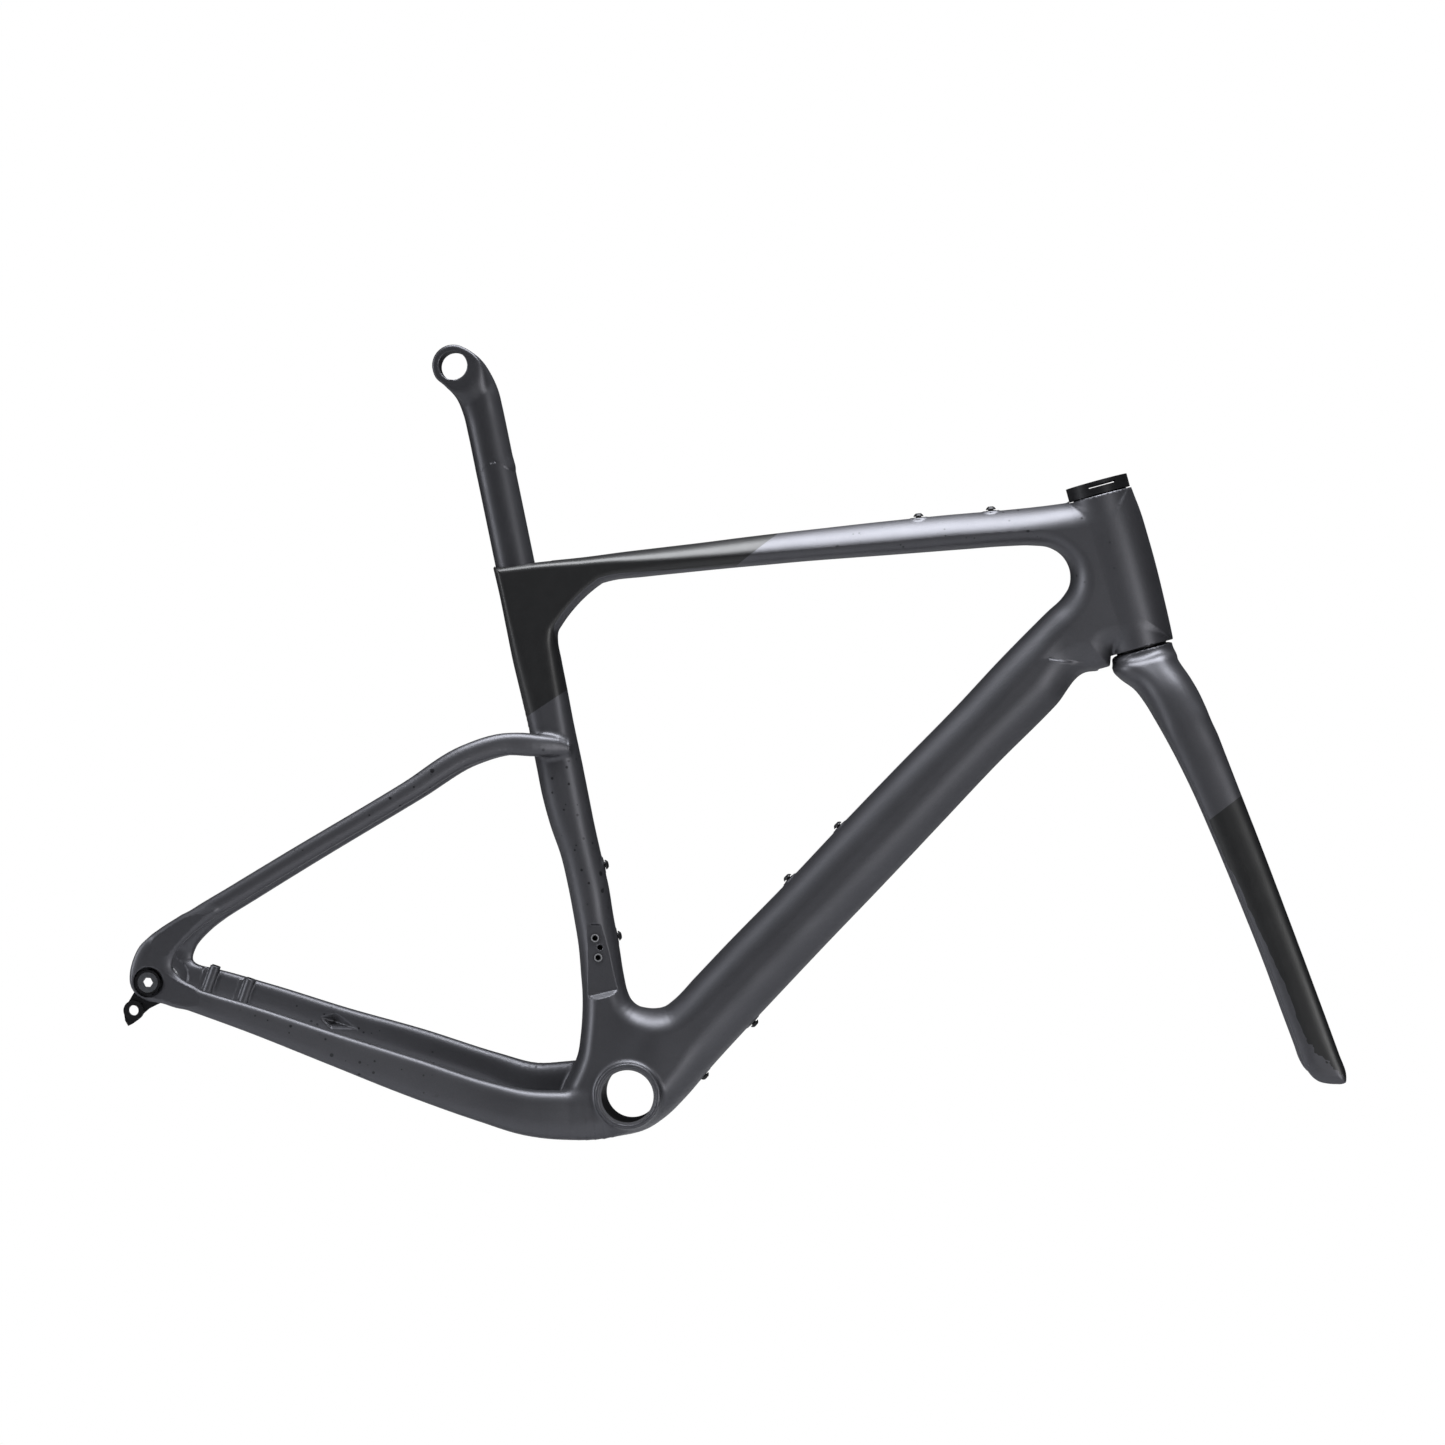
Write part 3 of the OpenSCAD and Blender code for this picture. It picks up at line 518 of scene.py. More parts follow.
body_sheet = Sheet(
    (on_grid(BODY_LOW[0], GRID_LOW[0]), on_grid(BODY_LOW[1], GRID_LOW[2])), BODY_HIGH, STEP,
    [edge_of(FRAME_OUTLINE), edge_of(FRAME_HOLE)] + BODY)


def rounded_edge(depth, y, half, reach, power):
    """Section of a tube near one edge of its outline: an oval corner into a flat side."""
    a = np.maximum(reach - depth, 0.0)
    q = ((a / reach) ** power + (y / half) ** power) ** (1 / power)
    q = np.maximum(q, 1e-4)
    r = np.sqrt(a * a + y * y)
    return np.where(q > 0.1, r * (1 - 1 / q), -half)


def frame_body(p, exact):
    s = body_sheet.read(p, exact)
    y = np.abs(p[:, 1])
    half = s[:, 2] - chin_ledge(p[:, 0], p[:, 2])
    outer = rounded_edge(-s[:, 0], y, half, s[:, 3], s[:, 4])
    inner = rounded_edge(s[:, 1], y, half, s[:, 5], s[:, 6])
    value = np.maximum(outer, inner)
    # a narrow facet along the inner edge of the seat cluster and the rear of the top tube
    size = facet_size(p[:, 0], p[:, 2])
    facet = (y - s[:, 2] + size - s[:, 1]) * 0.7071
    value = np.where(size > 0.05, smooth_max(value, facet, 0.8), value)
    return value


CREASE_Z, CREASE_DEPTH = 408, 2.6


def chin_ledge(x, z):
    """Depth of the side above the chin's crease; the ledge is a wedge below the crease."""
    wedge = np.clip((x - 342) / 52, 0.07, 1) * 9
    down = np.clip((z - CREASE_Z + wedge) / wedge, 0, 1)
    start, end = np.clip((x - 332) / 26, 0, 1), np.clip((414 - x) / 26, 0, 1)
    ends = start * start * (3 - 2 * start) * end * end * (3 - 2 * end)
    return CREASE_DEPTH * down * np.exp(-(np.clip(z - CREASE_Z, 0, 200) / 20) ** 2) * ends


right_chain = loft([
    [-4, -26, 4, 4, -15, 18, 2.8], [-30, -37.5, -20, 2, -22, 26, 2.8],
    [-60, -42.5, -55, 0, -27, 27, 2.8], [-92, -40.5, -84, -1, -31, 25, 2.8],
    [-129, -31.5, -120, 4, -35, 20, 2.8], [-196, -12, -187, 21, -43, 17, 2.8],
    [-266, 11.5, -258, 39, -54, 16, 2.8],
    [-336, 35, -329, 58, -66, 14, 2.8], [-389, 51, -384, 71, -74, 12, 3], [-420, 60, -415, 80, -75.5, 9, 3]])
left_chain = loft([
    [-4, -24, 4, 22, 15, 18, 2.8], [-30, -32, -20, 28, 22, 26, 2.8],
    [-60, -27, -55, 24, 27, 27, 2.8], [-92, -16, -84, 20, 31, 25, 2.8],
    [-129, -2, -120, 26, 35, 20, 2.8], [-196, 14, -188, 42, 43.5, 18, 2.8], [-266, 30, -259, 56, 55, 17, 2.8],
    [-336, 47, -330, 72, 66, 15, 2.8], [-399, 60, -395, 84, 74, 12, 3], [-424, 66, -421, 86, 75.5, 9, 3]])
STAY = [
    [-409, 100, -419, 113, -75.3, 9, 3], [-388, 119, -398, 133, -73.5, 12, 2.35],
    [-347, 149, -356, 163.5, -67, 13, 2.35], [-306, 178, -315, 192.5, -60, 14, 2.35],
    [-205, 247.5, -214.5, 262.5, -43, 14.5, 2.35], [-158, 280.5, -165, 298.5, -33.5, 15, 2.35],
    [-128, 291.5, -131, 311, -27.5, 15.5, 2.35],
    [-100, 292.5, -100, 311.5, -23.5, 13, 2.35], [-84, 294.5, -84, 309.5, -19, 11, 2.5],
    [-76, 297, -76, 306, -16.5, 8, 2.3]]
right_stay = loft(STAY)
left_stay = loft([[a, b, c, d, -e, w, n] for a, b, c, d, e, w, n in STAY])

DROPOUT = outline([(-371, 139)], [(-398, 132.2), (-414, 122.5), (-426, 113), (-434, 104), (-439, 92),
                   (-441, 80), (-440, 70), (-435, 62), (-426, 57), (-410, 56.5), (-396, 54)],
                  [(-380, 62)], [(-384, 71), (-396, 78), (-404, 88), (-402, 100), (-393, 116)])
drop_sheet = Sheet((on_grid(-450.0, GRID_LOW[0]), on_grid(40.0, GRID_LOW[2])), (-365.0, 150.0), STEP,
                   [edge_of(DROPOUT)])


def dropouts(p, exact):
    flat = drop_sheet.read(p, exact)[:, 0]
    return rounded_edge(-flat, np.abs(np.abs(p[:, 1]) - DROPOUT_MIDDLE), DROPOUT_HALF, 11.0, 2.0)


# Flat-mount brake sleeves on the left chainstay: leaning frame, and Y
BRAKE_SLEEVES = (((-352.4, 64.5), -15.5), 62.3), (((-385.2, 73.6), -15.5), 66.9)
HEAD_BOX = (330, -34, 395), (465, 34, 575)
SHELL_BOX = (-32, -SHELL_HALF_WIDTH, -32), (32, SHELL_HALF_WIDTH, 32)


def frame_value(p, exact):
    value = np.full(len(p), 60.0)
    near = (p[:, 0] > BODY_LOW[0]) & (np.abs(p[:, 1]) < 60)
    if near.any():
        value[near] = frame_body(p[near], exact)
    add(value, p, solid(*HEAD_BOX, head_barrel), 3.0)
    add(value, p, solid(*SHELL_BOX, bb_barrel), 5.0)
    for stay in (right_chain, left_chain):
        add(value, p, stay, 6.0)
    for stay in (right_stay, left_stay):
        add(value, p, stay, 7.0)
    near = p[:, 0] < -360
    if near.any():
        value[near] = smooth_min(value[near], dropouts(p[near], exact), 7.0)
        q = p[near]
        y = np.abs(q[:, 1])
        hub = np.maximum(pin(q, REAR_AXLE, 17.5), y - (DROPOUT_MIDDLE - DROPOUT_HALF))
        v = np.maximum(value[near], -hub)
        value[near] = np.maximum(v, y - (DROPOUT_MIDDLE + DROPOUT_HALF))
    for place, y in BRAKE_SLEEVES:
        # a sleeve between two thin ribs
        for a0, out, radius, top in ((0, 0.0, 4.6, 11.5), (-8.2, 2.2, 1.6, 8), (8.2, 2.2, 1.6, 8)):
            add(value, p, drilled(place, a0, y + out, radius, -14, top), 1.2, margin=4)
    for x, z, lean in BOSSES:
        pad = drilled(boss_place(x, z, lean), 0, 0, 6.3, -9, -0.05)
        add(value, p, pad, 2.5, margin=6)
    for part in FRAME_CUTS:
        cut(value, p, part)
    return value


def head_barrel(p):
    """Head tube: a barrel on the steering axis, slimmer at both ends."""
    a, y, c = local(p, STEER)
    t = (c - 70) / 70
    r = rod(a, y, 29.4 - 1.2 * t * t)
    return np.maximum(r, np.maximum(-1 - c, c - (HEAD_LENGTH + 2)))


def bb_barrel(p):
    return smooth_max(pin(p, BOTTOM_BRACKET, 28.8), np.abs(p[:, 1]) - SHELL_HALF_WIDTH, 1.2)


def above_head():
    """Space above the head tube and round its top bearing."""
    def f(p):
        a, y, c = local(p, STEER)
        over = np.minimum(rod(a, y, 28.0), -a - 8)
        return np.maximum(HEAD_LENGTH - c, over)
    return solid((330, -60, 500), (470, 60, 640), f)


def below_head():
    """The crown's space under the chin of the head tube."""
    def f(p):
        a, y, c = local(p, STEER)
        low = np.maximum(rod(a, y, 42.0), c + 8.5)
        pocket = np.maximum(rod(a, y, 30.8), c)
        return np.minimum(low, pocket)
    return solid((370, -60, 340), (480, 60, 450), f)


def post_bore():
    def f(p):
        a, y, c = local(p, POST)
        return np.maximum(oval(a, y, 17.75, 13.85), np.maximum(-164 - c, c - 40))
    return solid((-170, -20, 290), (-60, 20, 500), f)


def wedge_space():
    """Slot for the seatpost's clamping wedge, in front of its bore."""
    def f(p):
        a, y, c = local(p, POST)
        return np.maximum.reduce([14.4 - a, a - 32.4, np.abs(y) - 9, -34 - c, c - 46])
    return solid((-135, -12, 420), (-80, 12, 520), f)


PANEL_Y = -18.6


def derailleur_panel():
    """Flat recess on the drive side of the seat tube, with a slanted step at its foot."""
    def f(p):
        x, y, z = p[:, 0], p[:, 1], p[:, 2]
        foot = 83.0 + (x + 46) * 0.31 - z
        head = z - 147.0 - (x + 49) * 0.08
        return np.maximum.reduce([y - PANEL_Y, foot * 0.75 + (y - PANEL_Y) * 0.65, head])
    return solid((-75, -40, 80), (5, -18, 150), f)


# Threaded bosses for bottle cages and bags: x, z, and lean of their axes
BOSSES = [
    (221, 524.6, -9), (284.3, 534.8, -9), (169.2, 247.9, -50.1), (128, 198.8, -50.1),
    (104.3, 70.9, 129.5), (63.7, 21.6, 129.5), (-36.6, 200.4, 75.5), (-20.9, 138.4, 75.5)]


def boss_place(x, z, lean):
    """A leaning frame whose upward axis points out of the tube."""
    return ((x, z), -lean)


def diamond():
    """Faceted hollow on the inner face of the left chainstay."""
    (fx, fz), _ = lean_axes(-13)

    def f(p):
        dx, dz = p[:, 0] + 272, p[:, 2] - 43.5
        u = np.abs(dx * fx + dz * fz) / 17
        v = np.abs(dz + dx * 0.231) / 9.5
        depth = (p[:, 1] - 47.3) / 8.5
        return (u + v + depth - 1.0) * 4.0
    return solid((-295, 35, 26), (-250, 62, 62), f)


FRAME_CUTS = [
    diamond(), above_head(), below_head(),
    # steerer bore and the seats of its two bearings
    drilled(STEER, 0, 0, 22.5, -10, 150), drilled(STEER, 0, 0, 25.6, -12, 8),
    drilled(STEER, 0, 0, 25.6, 131, 150),
    post_bore(), wedge_space(), derailleur_panel(),
    cross_hole(BOTTOM_BRACKET, 25.0, -60, 60),
    cross_hole(REAR_AXLE, 8.5, -90, 90), cross_hole(REAR_AXLE, 13.1, -90, -74),
    cross_hole(CABLE_HOLE, 2.4, -40, -4),
    *(cross_hole(place, 2.9, -40, -8) for place in DERAILLEUR_HOLES),
]


def facet_size(x, z):
    """Width of the narrow facet along the seat cluster's inner edge, which tapers forward."""
    return 4.6 * np.clip((85 - x) / 120, 0, 1) * np.clip((z - 396) / 14, 0, 1)


def build_frame():
    v, q, n = extract(frame_value, GRID_LOW, GRID_HIGH, STEP)
    size = facet_size(v[:, 0], v[:, 2])
    depth = body_sheet.read(v, True)[:, 1]
    clear = np.where(size > 0.05, depth - size - 0.2, 20.0)
    return mesh_object("frame_shell", v, q, n, attributes={"clear_of_facet": clear})


# ---- Fork ----

FORK_OUTLINE = outline(
    [(394.5, 425), (396.5, 412), (400, 400), (407, 393.5), (420, 386), (432, 373.5), (441.5, 360.5),
     (450, 348), (458, 335.5), (473.5, 309.5), (500.5, 258.5), (525.5, 208), (550, 157), (573, 105.5),
     (584.5, 80), (590, 67.5), (596, 59.5), (603, 55), (610, 53.8)],
    [(622, 54), (626.5, 56), (626.5, 60)],
    [(618, 82), (606.5, 108), (583.5, 159.5), (560.5, 210.5), (537.5, 261), (513.5, 312.5), (501.5, 338.5),
     (495.5, 351.5), (489, 363.5), (483, 376), (476, 389), (468, 401), (458, 414), (450, 427)])
# Rows: x, z, outer and inner face of a leg (below 0 where the crown is one piece), edge reach, squareness
FORK = spread([
    [424, 424, 24, -24, 20, 2.2], [432, 409, 35, -33, 22, 2.2], [438, 398, 43, -30, 23, 2.3],
    [446, 385, 48, -10, 23, 2.3], [453, 372, 50.5, 8, 22, 2.3], [466, 350, 52.5, 26, 20, 2.3],
    [475.5, 343, 53, 30, 20, 2.3], [489, 317, 54.5, 35, 19, 2.3], [502, 292, 55.5, 38.5, 17.5, 2.3],
    [515, 266, 56.5, 40.5, 16.5, 2.3], [527, 241, 57.5, 42.5, 16, 2.3], [539, 215, 58.8, 44.2, 15.5, 2.3],
    [551, 189, 60, 46, 15, 2.3], [563, 163, 61, 47.5, 14.8, 2.3], [574.5, 138, 62, 49, 14.5, 2.35],
    [585, 115, 62.6, 49.6, 14.5, 2.4], [595, 93, 63, 50, 15, 2.4], [606, 67, 63, 50, 12, 2.4],
    [613, 52, 63, 50, 11, 2.4]], 14.0)
fork_sheet = Sheet((380, 30), (650, 450), STEP, [edge_of(FORK_OUTLINE)] + FORK)


def crown_core(p):
    a, y, c = local(p, STEER)
    return smooth_max(rod(a, y, 29.1), -16 - c, 6.0)


def fork_body(p):
    s = fork_sheet.read(p, True)
    half, middle = (s[:, 1] - s[:, 2]) / 2, (s[:, 1] + s[:, 2]) / 2
    return rounded_edge(-s[:, 0], np.abs(np.abs(p[:, 1]) - middle), half, s[:, 3], s[:, 4])


def fork_value(p, exact):
    value = np.full(len(p), 60.0)
    core = solid((385, -30, 385), (470, 30, 445), crown_core)
    add(value, p, core, 1.0)
    value = smooth_min(value, fork_body(p), 4.0)
    a, y, c = local(p, STEER)
    value = np.maximum(value, c + 1.0)
    # space round the collar that turns inside the head tube
    around = smooth_max(-9.0 - c, -rod(a, y, 29.2), 6.0)
    value = smooth_max(value, -around, 8.0)
    value = np.maximum(value, -np.maximum(rod(a, y, 17.6), -30 - c))
    # arch between the legs
    lean = math.radians(25)
    above = (p[:, 0] - 430) * math.sin(lean) + (p[:, 2] - 360) * math.cos(lean)
    gap = 25.5 + 0.2 * np.clip(-above, 0, 60)
    arch = np.where(above > 0, np.sqrt(above ** 2 + y * y), np.abs(y)) - gap
    inside = np.where(c < -12, arch, 50.0)
    value = smooth_max(value, -inside, 4.0)
    for y0, y1 in ((-60.5, -45), (45, 70)):
        cut(value, p, cross_hole(FRONT_AXLE, 8.5, y0, y1))
    return value


def build_fork():
    v, q, n = extract(fork_value, (385, -72.37, 48), (640, 72, 430), STEP)
    # edges of the outer face, and the middle of a leg's width, for the paint
    z = v[:, 2]
    rear = np.interp(z, [54, 80, 131.5, 182.5, 233.5, 284.5], [596, 584.5, 561.5, 537.5, 512.5, 487])
    front = np.interp(z, [54, 82, 133.5, 184.5, 235.5, 287.5], [629, 618, 595.5, 572.5, 548.5, 525.5])
    middle = np.interp(z, [54, 138, 189, 241, 292, 343], [56.5, 55.5, 53, 50, 47, 42])
    return mesh_object("fork_shell", v, q, n, attributes={
        "from_rear": (v[:, 0] - rear) / (front - rear), "middle": middle})


# ---- Seatpost ----

POST_OUTLINE = outline(
    [(-171, 534), (-175.1, 548.7), (-181.8, 572.8), (-187.2, 590), (-194, 603.5), (-205, 614.3),
     (-212.5, 620), (-215.6, 626.2), (-216.6, 632), (-214.9, 639.8), (-210, 646.2), (-203, 649.9),
     (-196, 650.5), (-188, 648), (-181, 644.3), (-174, 638.8), (-165.5, 628), (-157.5, 613),
     (-153, 599), (-148.2, 582.1), (-141.6, 558.1), (-137.5, 543)])
# Rows: x, z, half thickness, edge reach and squareness
POST_ROWS = spread([
    [-156, 540, 13.5, 17.4, 2.0], [-162, 562, 13.5, 17.4, 2.0], [-168, 585, 13.6, 17.2, 2.0],
    [-175, 604, 14.2, 16.0, 2.1], [-184, 620, 16.0, 14.0, 2.2], [-198, 632, 18.0, 14.0, 2.4]], 9.0)
post_sheet = Sheet((-245.0, 500.0), (-105.0, 680.0), STEP, [edge_of(POST_OUTLINE)] + POST_ROWS)


def post_head(p):
    s = post_sheet.read(p, True)
    y = np.abs(p[:, 1])
    tube = rounded_edge(-s[:, 0], y, s[:, 1], s[:, 2], s[:, 3])
    barrel = smooth_max(s[:, 0], y - 18.0, 3.0)
    near = ease((38 - pin(p, SADDLE_BORE, 0)) / 18)
    return tube * (1 - near) + barrel * near


def post_value(p, exact):
    a, y, c = local(p, POST)
    value = np.maximum(oval(a, y, 17.4, 13.5), np.maximum(-140 - c, c - 95))
    add(value, p, solid((-222, -22, 534), (-135, 22, 656), post_head), 0.3)
    cut(value, p, cross_hole(SADDLE_BORE, 12.6, -40, 40))
    return value


def build_post():
    v, q, n = extract(post_value, (-222, -22.3, 312), (-80, 22, 656), STEP * 0.8)
    return mesh_object("seatpost_shell", v, q, n)


frame_shell = build_frame()
fork_shell = build_fork()
post_shell = build_post()
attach(frame_shell, "frame")
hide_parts("head_tube", "top_tube", "down_tube", "seat_tube", "seat_lug", "bb_shell",
            "chainstay_right", "chainstay_left", "seatstay_right", "seatstay_left",
            "dropout_right", "dropout_left")
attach(fork_shell, "fork")
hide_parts("fork_crown", "fork_leg_right", "fork_leg_left")
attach(post_shell, "seatpost")
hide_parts("seatpost")

# ---- Materials ----


class Paint:
    """A material built node by node; every method returns an output socket."""

    def __init__(self, name):
        self.material = bpy.data.materials.new(name)
        self.material.use_nodes = True
        self.tree = self.material.node_tree
        self.bsdf = self.tree.nodes["Principled BSDF"]
        place = self.node("ShaderNodeTexCoord").outputs["Object"]
        scale = self.node("ShaderNodeVectorMath", operation="SCALE")
        self.link(place, scale.inputs[0])
        scale.inputs["Scale"].default_value = 1000.0
        self.p = scale.outputs[0]
        split = self.node("ShaderNodeSeparateXYZ")
        self.link(self.p, split.inputs[0])
        self.x, self.y, self.z = split.outputs

    def node(self, kind, **settings):
        n = self.tree.nodes.new(kind)
        for key, value in settings.items():
            setattr(n, key, value)
        return n

    def link(self, a, b):
        self.tree.links.new(a, b)

    def feed(self, socket, value):
        if isinstance(value, (int, float)):
            socket.default_value = value
        elif isinstance(value, tuple):
            socket.default_value = (*value, 1.0) if len(value) == 3 else value
        else:
            self.link(value, socket)

    def math(self, operation, *values):
        n = self.node("ShaderNodeMath", operation=operation)
        for socket, value in zip(n.inputs, values):
            self.feed(socket, value)
        return n.outputs[0]

    def add(self, a, b):
        return self.math("ADD", a, b)

    def sub(self, a, b):
        return self.math("SUBTRACT", a, b)

    def mul(self, a, b):
        return self.math("MULTIPLY", a, b)

    def low(self, a, b):
        return self.math("MINIMUM", a, b)

    def high(self, a, b):
        return self.math("MAXIMUM", a, b)

    def ramp(self, value, start, end):
        """0 below start, 1 above end, smooth between."""
        n = self.node("ShaderNodeMapRange", interpolation_type="SMOOTHSTEP", clamp=True)
        self.feed(n.inputs["Value"], value)
        if start < end:
            lo, hi, a, b = start, end, 0.0, 1.0
        else:
            lo, hi, a, b = end, start, 1.0, 0.0
        for key, v in (("From Min", lo), ("From Max", hi), ("To Min", a), ("To Max", b)):
            n.inputs[key].default_value = v
        return n.outputs["Result"]

    def line(self, a, b):
        """Signed distance to the line from a to b in the XZ plane, above 0 on its left."""
        dx, dz = b[0] - a[0], b[1] - a[1]
        size = math.hypot(dx, dz)
        along = self.mul(self.sub(self.z, a[1]), dx / size)
        across = self.mul(self.sub(self.x, a[0]), dz / size)
        return self.sub(along, across)

    def noise(self, scale, detail=2.0, rough=0.5, vector=None):
        n = self.node("ShaderNodeTexNoise")
        self.link(vector or self.p, n.inputs["Vector"])
        n.inputs["Scale"].default_value = scale
        n.inputs["Detail"].default_value = detail
        n.inputs["Roughness"].default_value = rough
        return n.outputs["Fac"]

    def cells(self, scale, vector=None):
        """Distance to the nearest random point, and that point's two random values."""
        n = self.node("ShaderNodeTexVoronoi", voronoi_dimensions="3D")
        self.link(vector or self.p, n.inputs["Vector"])
        n.inputs["Scale"].default_value = scale
        split = self.node("ShaderNodeSeparateColor")
        self.link(n.outputs["Color"], split.inputs[0])
        return n.outputs["Distance"], split.outputs[0], split.outputs[1]

    def mix(self, factor, a, b, kind="RGBA"):
        n = self.node("ShaderNodeMix", data_type=kind)
        self.feed(n.inputs["Factor"], factor)
        self.feed(n.inputs["A"], a)
        self.feed(n.inputs["B"], b)
        return n.outputs["Result"]

    def blend(self, factor, a, b):
        return self.mix(factor, a, b, "FLOAT")

    def attribute(self, name):
        n = self.node("ShaderNodeAttribute", attribute_name=name)
        return n.outputs["Fac"]

    def bump(self, height, distance, strength):
        n = self.node("ShaderNodeBump")
        n.inputs["Strength"].default_value = strength
        n.inputs["Distance"].default_value = distance
        self.link(height, n.inputs["Height"])
        return n.outputs["Normal"]

    def set(self, **inputs):
        for key, value in inputs.items():
            self.feed(self.bsdf.inputs[key.replace("_", " ")], value)
        return self.material


GREY = (0.096, 0.096, 0.105)
BLACK = (0.0075, 0.0075, 0.0078)
SPOT = (0.03, 0.03, 0.033)


def finish_paint(m, black, spots):
    """Satin grey with dark spots and fine flake; gloss black where the mask is 1."""
    flake = m.noise(2.6, 1.0)
    cloud = m.noise(0.012, 3.0)
    tone = m.blend(cloud, 0.9, 1.12)
    grain = m.blend(m.ramp(flake, 0.35, 0.7), 0.93, 1.1)
    shade = m.node("ShaderNodeVectorMath", operation="SCALE")
    shade.inputs[0].default_value = GREY
    m.feed(shade.inputs["Scale"], m.mul(tone, grain))
    colour = m.mix(spots, shade.outputs[0], SPOT)
    gap, pick, _ = m.cells(1.6)
    fleck = m.mul(m.ramp(gap, 0.32, 0.1), m.ramp(pick, 0.80, 0.95))
    gloss = m.mix(m.mul(fleck, 0.25), BLACK, (0.03, 0.03, 0.031))
    colour = m.mix(black, colour, gloss)
    rough = m.blend(m.noise(0.05, 4.0), 0.42, 0.48)
    rough = m.blend(spots, rough, 0.3)
    rough = m.blend(black, rough, m.blend(m.noise(0.09, 3.0), 0.38, 0.46))
    peel = m.noise(0.35, 2.0)
    normal = m.bump(m.blend(black, flake, peel), 0.00001, 0.2)
    return m.set(Base_Color=colour, Roughness=rough, Normal=normal, Coat_Weight=m.mul(black, 0.15),
                 Coat_Roughness=0.25, Metallic=m.blend(black, 0.85, 0.0))


def spatter(m, zone, scale, density, size):
    """Round dark spots of random size inside a zone."""
    shift = m.node("ShaderNodeVectorMath", operation="ADD")
    m.link(m.p, shift.inputs[0])
    shift.inputs[1].default_value = (37.0 * scale, 11.0, 5.0)
    gap, pick, share = m.cells(scale, shift.outputs[0])
    keep = m.ramp(m.sub(density, pick), 0.0, 0.02)
    radius = m.mul(m.blend(share, 0.3, 1.0), size * scale)
    inside = m.ramp(m.sub(radius, gap), -0.06 * scale, 0.35 * scale)
    return m.mul(m.mul(inside, keep), zone)


def band(m, value, start, end, soft):
    """1 between start and end, 0 outside."""
    return m.mul(m.ramp(value, start - soft, start + soft), m.ramp(value, end + soft, end - soft))


def frame_paint():
    m = Paint("frame_paint")
    front = m.line((83, 476), (121, 505))
    foot = m.line((-108, 317), (-77, 345))
    black = m.low(m.low(front, foot), m.sub(m.z, 312.0))
    black = m.low(black, m.attribute("clear_of_facet"))
    black = m.ramp(black, -0.15, 0.15)
    top = m.mul(band(m, m.x, 140, 390, 40), m.ramp(m.z, 470, 480))
    seat = m.mul(band(m, m.z, 165, 305, 20), band(m, m.x, -125, 0, 3))
    stays = m.mul(band(m, m.x, -335, -175, 18), m.ramp(m.z, 290, 270))
    zone = m.high(m.high(m.mul(top, 0.9), seat), stays)
    fine = spatter(m, zone, 0.16, 0.42, 1.5)
    coarse = spatter(m, zone, 0.085, 0.30, 2.4)
    spots = m.mul(m.high(fine, coarse), 0.85)
    return finish_paint(m, black, spots)


def fork_paint():
    """Black below a diagonal on the outer face, but for a strip along the rear edge and the tip."""
    m = Paint("fork_paint")
    top = m.mul(m.line((492, 276), (516, 297)), -1.0)
    width = m.add(m.mul(m.ramp(m.z, 290, 110), 0.26), m.mul(m.sub(m.noise(0.06, 2.0), 0.5), 0.16))
    strip = m.mul(m.sub(m.attribute("from_rear"), width), 30.0)
    wave = m.mul(m.sub(m.noise(0.22, 1.0), 0.5), 12.0)
    tip = m.add(m.line((581, 96), (623, 61)), wave)
    outer = m.add(m.sub(m.math("ABSOLUTE", m.y), m.attribute("middle")),
                  m.mul(m.attribute("from_rear"), 6.0))
    black = m.low(m.low(top, strip), m.low(tip, outer))
    return finish_paint(m, m.ramp(black, -0.15, 0.15), 0.0)


def carbon_paint(name):
    """Satin black over a faint trace of fibre."""
    m = Paint(name)
    grain = m.noise(1.8, 2.0)
    cloud = m.noise(0.02, 3.0)
    colour = m.mix(cloud, (0.062, 0.062, 0.068), (0.082, 0.082, 0.09))
    rough = m.blend(m.noise(0.06, 4.0), 0.36, 0.44)
    return m.set(Base_Color=colour, Roughness=rough, Metallic=0.8, Normal=m.bump(grain, 0.00002, 0.25))


def metal(name, colour, dark, rough, metallic=1.0, brush=0.0):
    """Turned or anodised metal with fine machining marks and slight wear."""
    m = Paint(name)
    stretch = m.node("ShaderNodeMapping")
    stretch.inputs["Scale"].default_value = (0.2, 3.0, 0.2) if brush else (1, 1, 1)
    m.link(m.p, stretch.inputs["Vector"])
    marks = m.noise(1.3, 3.0, 0.6, stretch.outputs[0])
    cloud = m.noise(0.25, 4.0)
    tone = m.mix(cloud, dark, colour)
    r = m.blend(marks, rough * 0.8, min(rough * 1.3, 1.0))
    return m.set(Base_Color=tone, Roughness=r, Metallic=metallic, Normal=m.bump(marks, 0.00002, 0.3))


def from_axis(m, place):
    """Distance from a line along Y."""
    return m.math("SQRT", m.add(m.math("POWER", m.sub(m.x, place[0]), 2.0),
                                m.math("POWER", m.sub(m.z, place[1]), 2.0)))


def rivnut_finish():
    """Bright rim round a threaded hole, which is painted near-black as painted shade."""
    m = Paint("rivnut")
    rim = m.low(*(from_axis(m, place) for place in DERAILLEUR_HOLES))
    tone = m.mix(m.noise(0.8, 3.0), (0.2, 0.2, 0.21), (0.32, 0.32, 0.33))
    tone = m.mix(m.ramp(rim, 3.3, 3.7), tone, (0.035, 0.035, 0.038))
    # painted shade: inside r 2.4 mm the threaded bore is near-black, standing in for the dark inside the hole
    colour = m.mix(m.ramp(rim, 2.7, 2.4), tone, (0.004, 0.004, 0.004))
    return m.set(Base_Color=colour, Roughness=m.blend(m.noise(0.9, 2.0), 0.35, 0.5), Metallic=0.2)


